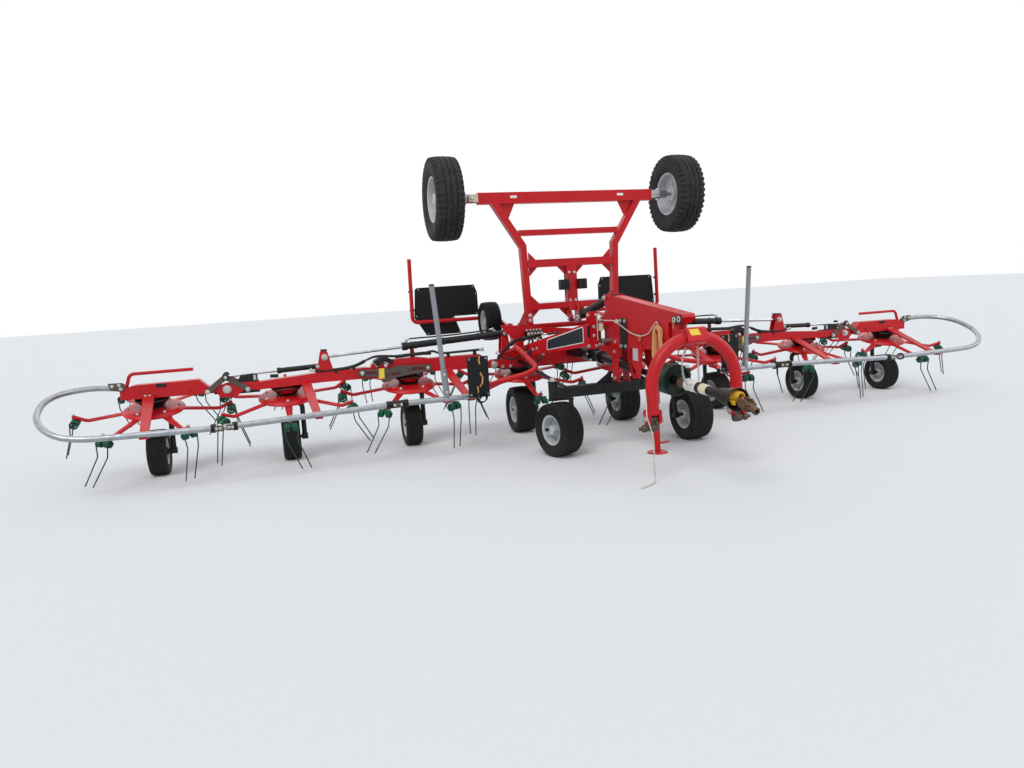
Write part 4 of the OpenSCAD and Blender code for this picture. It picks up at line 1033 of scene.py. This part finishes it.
def tower_trim():
    form = Form()
    tower_side(form, -1)
    tower_side(form, 1)
    # kingpin cap and jack pin
    form.lathe([(2, 0), (34, 0), (38, 3), (38, 12), (30, 18), (2, 18)], "red",
               move(0, KINGPIN_Y, 1180), loop=False)
    form.lathe([(57, 0), (63, 2), (64, 8), (57, 10)], "red", move(0, KINGPIN_Y, 1132), 48)
    form.tube([(64, -1620, 560), (160, -1620, 560)], 9, "zinc")
    form.ring(facing((164, -1620, 552), (1, 0.3, 0)), 18, 2.4, "zinc", 28, 8)
    # guide ring that the rope passes
    form.ring(facing((-68, -1290, 1134), (0.2, 1, 0.1)), 15, 3, "white", 28, 8)
    form.box((-60, -1290, 1134), (12, 26, 16), "white")
    # thick hoses out of the tower's rear
    for k in range(3):
        form.hose([(-20 + 20 * k, -1020, 1180), (-16 + 20 * k, -930, 1150),
                   (-10 + 18 * k, -700, 1080), (-60 + 30 * k, -420, 1030),
                   (-240 + 60 * k, -300, 1010), (-380 + 70 * k, -240, 1000)], 17)
    form.build("tower_trim", "chassis")


def arm_side(form, s):
    # bone plate at the arm's inner end
    form.xz(mirror(s, [(152, 1216), (160, 1226), (250, 1226), (266, 1212), (270, 1150), (248, 1120),
                       (244, 990), (266, 965), (272, 905), (258, 890), (168, 890), (156, 902),
                       (160, 960), (176, 985), (178, 1120), (156, 1150)]), -1086, 12, "red", 2)
    form.xz(mirror(s, [(244, 1110), (262, 1100), (262, 1000), (244, 995)]), -1092, 22, "black", 2)
    form.fronts(s, -1092, 17, (250, 1196), (172, 1196), (252, 918), (178, 916), (196, 1090),
                (196, 1010))
    # blank panel on the arm's outer face, in a white rim
    along = Vector((s * 435, 890, 0)).normalized()
    normal = Vector((s * along.y, -abs(along.x), 0))
    m = facing(Vector((s * 175, -1040, 0)) + normal * 42.2, normal, along)
    flip = copysign(1, (m.to_3x3() @ Vector((0, 1, 0))).z)
    for lift, mat, outline in ((0.6, "sign", [(92, 952), (100, 942), (556, 868), (566, 876),
                                              (556, 960), (546, 972), (104, 1090), (92, 1082)]),
                               (1.5, "panel", [(99, 956), (105, 949), (549, 877), (557, 883),
                                               (548, 954), (540, 964), (107, 1081), (99, 1075)])):
        form.slab([(t, flip * z) for t, z in outline], 1.2, mat, m @ move(0, 0, lift), 0.2)
    for t, z in ((700, 880), (760, 868), (860, 838)):
        form.bolt(m @ Vector((t, flip * z, 0)), normal, 17)


def arm_trim():
    form = Form()
    arm_side(form, -1)
    arm_side(form, 1)
    # latch with its wire, block and spring tube
    form.tube(spline([(-168, -1104, 964), (-172, -1106, 1060), (-170, -1106, 1150),
                      (-166, -1104, 1190), (-152, -1100, 1206), (-140, -1100, 1190),
                      (-138, -1100, 1150), (-140, -1098, 1120)]), 3.2, "white", 10)
    form.box((-136, -1098, 1082), (36, 26, 66), "cream", None, 3)
    form.tube([(-138, -1098, 1120), (-138, -1098, 960)], 6, "rusty", 14)
    form.tube([(-170, -1104, 960), (-128, -1104, 960)], 8, "rusty", 14)
    form.lathe([(6, 0), (20, 0), (22, 2), (22, 84), (20, 86), (6, 86)], "steel",
               facing((-136, -1104, 958), (1, 0, 0)), 32)
    form.tube([(-60, -1104, 958), (-18, -1104, 958)], 9, "black", 14)
    form.fronts(1, -1100, 15, (-150, 930), (-120, 930))
    form.build("arm_trim", "chassis")


def valve_trim():
    form = Form()
    for x in range(-534, -393, 35):
        form.box((x, -236, 1012), (26, 16, 34), "rim", None, 3)
        form.bolt((x, -244, 1012), FRONT, 20, "zinc", False)
        form.bolt((x, -228, 978), FRONT, 22, "zinc", False)
        form.disc(move(x, -195, 1040), 11, 20, "zinc", 2, 20)
    for d, points in ((17, [(-534, -262, 978), (-560, -310, 930), (-620, -330, 850),
                            (-720, -300, 790), (-800, -220, 800), (-850, -170, 850)]),
                      (22, [(-499, -262, 978), (-540, -340, 890), (-600, -370, 800),
                            (-540, -360, 740), (-450, -300, 760), (-380, -200, 800)]),
                      (17, [(-464, -262, 978), (-440, -320, 920), (-380, -330, 900),
                            (-300, -300, 900), (-200, -260, 930), (-120, -240, 960)]),
                      (17, [(-394, -262, 978), (-380, -300, 900), (-300, -320, 860),
                            (-100, -300, 850), (200, -280, 870), (500, -240, 880), (740, -190, 860),
                            (850, -170, 850)])):
        form.hose(points, d)
    for k in range(4):
        u, v = 15 * (k % 2), 15 * (k // 2)
        form.tube(spline([(-430 + 20 * k, -236, 1000), (-470, -262 - u, 985 + v),
                          (-560, -280 - u, 974 + v), (-660, -282 - u, 962 + v),
                          (-740, -278 - u, 925 + v), (-800, -250 - u, 868 + v),
                          (-838, -205 - u, 812 + v), (-850, -176 - u, 780 + v)]), 9, "hose", 10)
    for fall, x, z in ((-0.35, -600, 976), (-0.75, -735, 936)):
        form.lathe([(19, -12), (24, -12), (24, 12), (19, 12)], "guard",
                   facing((x, -288, z), (-1, 0, fall)), 28)
    form.box((-462, -232, 958), (176, 6, 6), "rim", None, 1)
    form.build("valve_trim", "chassis", slot="valves")


def underframe_trim():
    form = Form()
    for s in (-1, 1):
        form.disc(move(s * FORK_X, FRAME_Y, 651), 44, 5, "zinc", 1.5)
        form.bolt((s * FORK_X, FRAME_Y, 655), UP, 34, "zinc", False, 8)
        form.fronts(s, FRAME_Y - 50, 18, (560, 560), (380, 560), (180, 560), mat="black")
        form.xz(mirror(s, [(96, 592), (250, 592), (240, 600), (110, 690), (96, 690)]), FRAME_Y, 10,
                "black", 1.5)
        for z in (620, 860):
            form.bolt((s * 57, FRAME_Y, z), (s, 0, 0), 18)
    form.lathe([(28, 0), (46, 0), (48, 4), (48, 22), (44, 26), (28, 26)], "black",
               facing((0, -1440, 722), FRONT))
    form.lathe([(37, 0), (58, 2), (60, 8), (60, 40), (37, 44)], "black",
               facing((0, -760, 781), (0, -1, -0.05)))
    form.fronts(1, -600, 13, *((x, 800 + z) for x, z in circle(6, 66)))
    form.build("underframe_trim", "chassis", slot="black_paint")


def frame_trim():
    form = Form()
    for s, mat in ((-1, "cream"), (1, "rim")):
        form.xz(mirror(s, [(936, 2318), (1030, 2328), (1030, 2388), (936, 2400)]),
                -142, 8, mat, 1.5)
        form.fronts(s, -146, 22, (1000, 2360))
        if s > 0:
            form.fronts(s, -146, 18, (958, 2362))
        form.patch([(s * 575 + x, -140.5, z)
                    for x, z in ((-34, 2352), (34, 2352), (34, 2376), (-34, 2376))], "sign")
        form.disc(facing((s * 1040, AXLE_Y, AXLE_Z), (s, 0, 0)), 60, 12, "zinc", 2, 40)
        for y, z in circle(6, 44):
            form.bolt((s * 1052, AXLE_Y + y, AXLE_Z + z), (s, 0, 0), 14)
        # cushions clamped to the middle post
        form.box((s * 96, -146, 1480), (86, 62, 104), "guard", None, 9)
        form.fronts(s, -178, 13, (96, 1446), (96, 1514))
        form.fronts(s, -140, 15, (30, 1320), (30, 1600))
        form.fronts(s, -140, 22, (470, 1140), (470, 1190))
        form.pin((s * 63, -172, 1130), 20, along=(s, 0, 0))
        # weld seams of the bars on the side members
        for z, x in ((1705, 466), (1275, 440), (2012, 500)):
            form.tube([(s * x, -141, z - 30), (s * x, -141, z + 30)], 3, "red", 8)
    form.build("frame_trim", "lift_frame")


def board_trim():
    form = Form()
    for s in (-1, 1):
        for x, z in ((790, 1520), (1400, 1515), (1440, 1230), (1320, 1030), (960, 1035),
                     (758, 1225), (756, 1440), (1030, 1190)):
            form.disc(facing((s * x, 871.6, z), FRONT), 7, 3, "zinc", 1.0, 16)
        form.lathe([(2, 0), (26, 0), (28, 3), (28, 8), (20, 14), (14, 30), (2, 32)], "rim",
                   facing((s * 1215, 872, 1099), FRONT), 32, loop=False)
        form.box((s * 1215, 862, 1118), (30, 14, 14), "guard")
        # rear lamps
        for x, mat, w in ((1010, "orange", 92), (1108, "lamp", 96), (1206, "white", 84)):
            form.xz(round_rect(s * x - w / 2, 1285, s * x + w / 2, 1395, 10), 899, 26, mat, 5)
        form.xz(round_rect(s * 1108 - 156, 1272, s * 1108 + 156, 1408, 14), 889, 6, "guard", 1.5)
        form.xz(round_rect(s * 1130 - 240, 1422, s * 1130 + 240, 1500, 6), 888, 3, "sign", 0.5)
        for z in (1300, 1500):
            form.box((s * 1484, 866, z), (50, 14, 26), "black")
            form.fronts(s, 858, 12, (1484, z))
        form.disc(facing((s * 629, 200, 1060), (s, 0, 0)), 50, 8, "red", 2, 40)
        form.bolt((s * 637, 200, 1060), (s, 0, 0), 30)
    form.build("board_trim", "chassis", slot="black_paint")


def gearbox_bowl(form, x):
    """Rims, bolts and seal of the gearbox under the beam."""
    at = move(x, 0, PLATE_Z) @ turn(TILT, "X")
    form.lathe([(140, 76), (147, 78), (149, 84), (146, 90), (138, 90)], "black", at, 56)
    for k in range(8):
        m = at @ turn(45 * k + 22, "Z")
        form.bolt(m @ Vector((130, 0, 66)), m.to_3x3() @ Vector((0.75, 0, -0.6)), 11, "black")
    form.lathe([(90, 18), (97, 20), (99, 26), (94, 32), (90, 32)], "boot", at, 48)


def wing_trim(s, q):
    form = Form()

    def xz(points, y, depth, mat, chamfer=1.2):
        form.xz(mirror(s, points), y, depth, mat, chamfer)

    # slotted latch plates that lock the contour joint
    xz([(2216, 786), (2224, 768), (2214, 748), (2190, 734), (2026, 716), (1990, 716), (1990, 786),
        (2030, 790), (2192, 794)], BEAM_FRONT - 31, 10, "brown")
    xz([(2006, 668), (1994, 700), (1988, 770), (1980, 789), (1925, 787), (1852, 806), (1548, 795),
        (1526, 780), (1522, 752), (1543, 726), (1700, 716), (1861, 696), (1936, 660), (1980, 656)],
       BEAM_FRONT - 42, 10, "brown")
    # the slots are thin dark red sheets on the plates' faces: painted shade of the beam seen
    # through them
    for proud, points in ((36, [(2154, 777), (2045, 769), (2047, 746), (2156, 754)]),
                          (47, [(1913, 744), (1825, 744), (1827, 724), (1907, 718)]),
                          (47, [(1698, 780), (1581, 775), (1583, 750), (1700, 754)])):
        xz(points, BEAM_FRONT - proud, 2, "slot", 0.3)
    for x, z, r, proud in ((2179, 763, 20, 36), (1948, 746, 22, 47), (1726, 774, 26, 47),
                           (1549, 762, 18, 47), (1954, 818, 18, 31)):
        form.pin((s * x, BEAM_FRONT - proud, z), r, "brown" if r > 21 else "zinc")
    form.patch([(s * 2002 + x, BEAM_FRONT - 50, z)
                for x, z in ((26, 698), (-26, 698), (-22, 795), (30, 795))], "sticker")
    # raised back of the contour joint, and the grey arched cover on it
    xz([(2092, 780), (2086, 822), (2062, 850), (2029, 800), (1988, 832), (1955, 842), (1917, 824),
        (1880, 826), (1876, 866), (1820, 868), (1640, 868), (1540, 852), (1486, 812), (1480, 780)],
       BEAM_Y, 92, "red", 2)
    xz([(2065, 862), (2029, 812), (1988, 841), (1955, 850), (1917, 832), (1877, 829), (1882, 865),
        (1928, 893), (1975, 905), (2024, 886)], BEAM_Y - 20, 96, "guard", 4)
    # hoses along the beam, their sleeves and clips
    for y, d, lift in ((-102, 17, 0), (-82, 15, 6)):
        run = [(980, 888 + lift), (1200, 884 + lift), (1400, 884 + lift), (1480, 910 + lift),
               (1600, 900), (1806, 890 + lift), (2021, 906 + lift), (2130, 880), (2230, 838),
               (2330, 818), (2500, 812 + lift), (2560, 815 + lift), (2640, 832)]
        form.hose([(s * x, y, z) for x, z in run], d)
    for r, run in ((17, [(1500, 896), (1600, 900), (1800, 892), (1850, 890)]),
                   (16, [(2140, 874), (2230, 838), (2330, 820), (2440, 814)])):
        form.tube(spline([(s * x, -92, z) for x, z in run]), r, "guard")
    for x, z in ((1060, 866), (1330, 866), (2250, 824), (2420, 806)):
        form.box((s * x, -92, z), (26, 52, 44), "guard", None, 4)
    # cover plates beside the outer hinge
    xz([(3292, 800), (3262, 842), (3160, 850), (3120, 836), (3118, 776), (3286, 772)], BEAM_Y - 48,
       20, "guard", 3)
    xz([(3156, 838), (3132, 832), (3132, 790), (3156, 788)], BEAM_Y - 59.5, 3, "rim", 0.8)
    # post cap, pins and the foot of the outer cylinder
    form.box((s * POST_X, BEAM_Y, 1006), (58, 100, 14), "guard", None, 4)
    for x, proud, z, r in ((POST_X, -12, EYE_Z, 30), (2580, -14, 860, 17), (870, 8, 730, 36)):
        form.pin((s * x, BEAM_FRONT - proud, z), r)
    xz([(3486, 730), (3458, 656), (3320, 650), (3252, 700), (3282, 764), (3430, 776)],
       BEAM_FRONT - 1.4, 3, "red", 0.8)
    form.pin((s * TIP_X, BEAM_FRONT - 5, 726), 38, nut=40)
    form.fronts(s, BEAM_FRONT - 22, 22, (3213, 711))
    xz([(3008, 828), (2936, 822), (2938, 792), (3012, 796)], BEAM_FRONT - 2, 5, "guard", 1)
    for x in (1725, 2875):
        gearbox_bowl(form, s * x)
    form.tube([(s * x, BEAM_FRONT - 4, z) for x, z in ((1300, 716), (1420, 720))], 3, "red", 8)
    form.build(f"wing_trim_{q}", f"wing_{q}", slot="linkage")


def outer_trim(s, q):
    form = Form()
    form.xz(mirror(s, [(3971, 801), (3888, 795), (3888, 826), (3971, 832)]), BEAM_FRONT - 2, 5,
            "guard", 1)
    form.xz(mirror(s, [(4350, 868), (4240, 866), (4214, 850), (4216, 800), (4262, 790),
                       (4335, 808)]), BEAM_FRONT - 5, 8, "brown")
    form.fronts(s, BEAM_FRONT - 9, 16, (4318, 840), (4262, 846), (4252, 812))
    form.fronts(s, BEAM_FRONT - 34, 22, (3554, 719))
    form.fronts(s, BEAM_FRONT, 16, (3700, 760), (4040, 760), mat="red")
    form.fronts(s, BEAM_FRONT - 9, 15, (4030, 728), (4065, 728))
    gearbox_bowl(form, s * rotor_x(8))
    form.build(f"outer_trim_{q}", f"outer_{q}", slot="linkage")


def collar(form, where, along, half):
    """A clamp round the guard's tube."""
    form.lathe([(25.5, -half), (34, -half), (36, 4 - half), (36, half - 4), (34, half),
                (25.5, half)], "board", facing(where, along), 36)


GUARD_LOOP = [(3440, -850, 495), (3700, -850, 499), (4000, -850, 504), (4250, -849, 508),
              (4440, -842, 516), (4600, -806, 545), (4718, -722, 602), (4788, -600, 668),
              (4804, -470, 726), (4786, -340, 776), (4728, -220, 810), (4620, -122, 828),
              (4480, -68, 832), (4360, -52, 822), (4270, -50, 808)]


def guard_loop(s, q):
    form = Form()
    form.tube(spline(mirror(s, GUARD_LOOP)), 25, "galv", 24)
    collar(form, (s * 3478, GUARD_Y, 495.5), (s, 0, 0.01), 20)
    form.xz(mirror(s, [(3470, 522), (3404, 520), (3404, 470), (3470, 472)]), GUARD_Y - 38, 5,
            "brown", 1)
    form.fronts(s, GUARD_Y - 40, 12, (3424, 496), (3452, 496))
    form.build(f"guard_loop_{q}", f"outer_{q}", [f"outer_guard_{q}"])


def guard_trim(s, q):
    form = Form()
    for x in (1900, 2052):
        collar(form, (s * x, GUARD_Y, guard_line(x)), (s, 0, 0), 18)
        form.bolt((s * x, GUARD_Y - 10, guard_line(x) + 33), UP, 12)
    form.xz(mirror(s, [(1930, 556), (2020, 552), (2012, 520), (1938, 522)]), GUARD_Y - 37, 6,
            "brown")
    form.fronts(s, GUARD_Y - 40, 12, (1946, 537), (2004, 537))
    collar(form, (s * 3312, GUARD_Y, guard_line(3312)), (s, 0, -0.02), 20)
    z = guard_line(3340)
    form.xz(mirror(s, [(3318, z + 25), (3376, z + 24), (3376, z - 25), (3318, z - 24)]),
            GUARD_Y - 38, 5, "brown", 1)
    form.fronts(s, GUARD_Y - 40, 12, (3332, z), (3358, z))
    form.lathe([(2, 0), (24, 0), (26, 3), (26, 12), (24, 15), (2, 15)], "board",
               facing((s * 1236, GUARD_Y, GUARD_Z), (-s, 0, 0)), 32, loop=False)
    # grey post: cap and foot clamp
    form.lathe([(2, -6), (24, -6), (24.5, 2), (20, 8), (2, 10)], "board",
               facing((s * 1600, GUARD_Y, 1545), (0.045 * s, 0, 1)), 28, loop=False)
    form.fronts(s, GUARD_Y - 28, 14, *((1530 + (z - GUARD_Z) * 0.07, z) for z in (600, 760)))
    # rubber flap: eyelets and short tufts of twine
    for x, z in ((1195, 885), (1345, 885), (1195, 570), (1345, 570)):
        form.ring(facing((s * x, GUARD_Y - 141, z), FRONT), 8, 2.4, "zinc", 20, 6)
    for tuft in ([(1252, 905), (1259, 870), (1253, 838)],
                 [(1253, 760), (1234, 715), (1242, 668), (1262, 640)],
                 [(1285, 640), (1280, 590), (1288, 548)]):
        for k in range(4):
            strand = [(s * (x + 5 * sin(1.9 * k + j)), GUARD_Y - 144 - 3 * (k % 2),
                       z + 4 * cos(2.3 * k + j)) for j, (x, z) in enumerate(tuft)]
            form.tube(spline(strand), 2.6, "twine", 6)
    form.build(f"guard_trim_{q}", f"wing_{q}", slot="guard_plastic")


def flap_line(s, q):
    """A spare line that hangs coiled from the flap's foot."""
    route = [(s * 1216, GUARD_Y - 147, 640), (s * 1216, GUARD_Y - 148, 610),
             (s * 1216, GUARD_Y - 149, 575)]
    for lap in (k / 20 for k in range(3 * 20 + 1)):
        route.append((s * (1262 - 5 * lap - 46 * cos(tau * lap)), GUARD_Y - 150 - 9.5 * lap,
                      GUARD_Z + 6 * lap - 46 * sin(tau * lap)))
    route = spline(route, 2)
    cord(f"flap_line_{q}", f"wing_{q}", Form().tube(route, 4, "hose", 10))


def centre_trim():
    form = Form()
    for s in (-1, 1):
        gearbox_bowl(form, s * rotor_x(5))
        form.pin((s * FOOT_X, BEAM_FRONT + 12, FOOT_Z), 28)
        form.fronts(s, BEAM_FRONT, 17, (700, 700), (780, 700))
        form.fronts(s, GUARD_Y - 7, 14, (1180, 606), (1140, 616))
        for y in (60, 140):
            form.bolt((s * 596, y, 930), (s, 0, 0), 18)
    form.build("centre_trim", "chassis", slot="black_paint")


def link_trim(s, q):
    form = Form()
    x = s * 3392
    for k in (-1, 1):
        form.bolt((x, BEAM_Y + k * 86, 836), (0, k, 0), 22)
        form.lathe([(2, 12), (20, 12), (27, 8), (30, 0), (30, -6), (2, -6)], "guard",
                   facing((x, BEAM_Y + k * 88, 842), (0, k, 0)), 28, loop=False)
    form.tube([(x, BEAM_Y - 86, 836), (x, BEAM_Y + 86, 836)], 10.5, "zinc", 20)
    form.build(f"link_pin_{q}", f"rocker_{q}", slot="linkage")


def cylinder_trim(s, q):
    form = Form()
    foot, eye = Vector((FOOT_X, 0, FOOT_Z)), Vector((POST_X, 0, EYE_Z))
    u = (eye - foot).normalized()
    out = (s * u.x, 0, u.z)

    def on(t, up=0.0):
        p = foot + u * t
        return (s * p.x, BEAM_Y, p.z + up)

    form.disc(facing(on(1022), out), 41, 10, "black", 2, 36)
    form.bolt(on(985, 40), UP, 20, "zinc", False)
    form.bolt(on(90, 33), UP, 20, "zinc", False)
    form.hose([on(985, 58), on(930, 66), on(600, 52), on(300, 50), on(110, 56)], 15)
    for t in (260, 620, 900):
        form.lathe([(33.4, -9), (37, -9), (37, 9), (33.4, 9)], "guard", facing(on(t), out), 36)
    form.build(f"cylinder_trim_{q}", f"wing_barrel_{q}", slot="black_paint")


for make in (drive_shaft, shaft_bell, headstock_trim, nose_twine, tower_trim, arm_trim, valve_trim,
             underframe_trim, frame_trim, board_trim, centre_trim):
    make()
for s, q in SIDES:
    for make in (wing_trim, outer_trim, guard_loop, guard_trim, flap_line, link_trim,
                 cylinder_trim):
        make(s, q)

# ---------------------------------------------------------------- stage

FLOOR_HALF = 60.0
# Light: name, the way it shines, its angle in degrees, its strength
SUNS = (("key", (0.55, 0.62, -1.0), 32, 1.25), ("fill", (-0.8, 0.45, -0.7), 60, 0.55),
        ("back", (-0.2, -0.9, -0.8), 50, 0.35))


def make_floor():
    mesh = bpy.data.meshes.new("floor")
    corners = [(x * FLOOR_HALF, y * FLOOR_HALF, 0) for x, y in ((-1, -1), (1, -1), (1, 1), (-1, 1))]
    mesh.from_pydata(corners, [], [(0, 1, 2, 3)])
    s = Shader("floor_pale", placed=False)
    rough = s.span(s.noise(1.4, 2.0, 0.5), 0, 1, 0.86, 0.94)
    mesh.materials.append(s.finish((0.74, 0.745, 0.75, 1), rough, bevel=0, Specular_IOR_Level=0.15))
    add_object("floor", mesh)


def make_world():
    """Soft light, and plain white where the camera or a reflection looks past the object."""
    world = bpy.data.worlds.new("studio")
    bpy.context.scene.world = world
    t = Tree(world)
    out = t.node("OutputWorld")
    soft = t.fill(t.node("Background"), Color=(0.86, 0.93, 1.0, 1), Strength=0.62)
    white = t.fill(t.node("Background"), Color=(1, 1, 1, 1), Strength=1.0)
    ray = t.node("LightPath").outputs
    seen = t.maths("MAXIMUM", ray["Is Camera Ray"], ray["Is Glossy Ray"])
    seen = t.maths("MAXIMUM", seen, ray["Is Transmission Ray"])
    pick = t.node("MixShader")
    for socket, source in zip(pick.inputs, (seen, soft.outputs[0], white.outputs[0])):
        t.put(socket, source)
    t.put(out.inputs[0], pick.outputs[0])


def make_suns():
    for name, aim, angle, power in SUNS:
        data = bpy.data.lights.new(name, "SUN")
        data.angle, data.energy = radians(angle), power
        add_object(name, data).rotation_euler = Vector(aim).to_track_quat("-Z", "Y").to_euler()


make_floor()
make_world()
make_suns()
bpy.context.scene.view_settings.view_transform = "Standard"
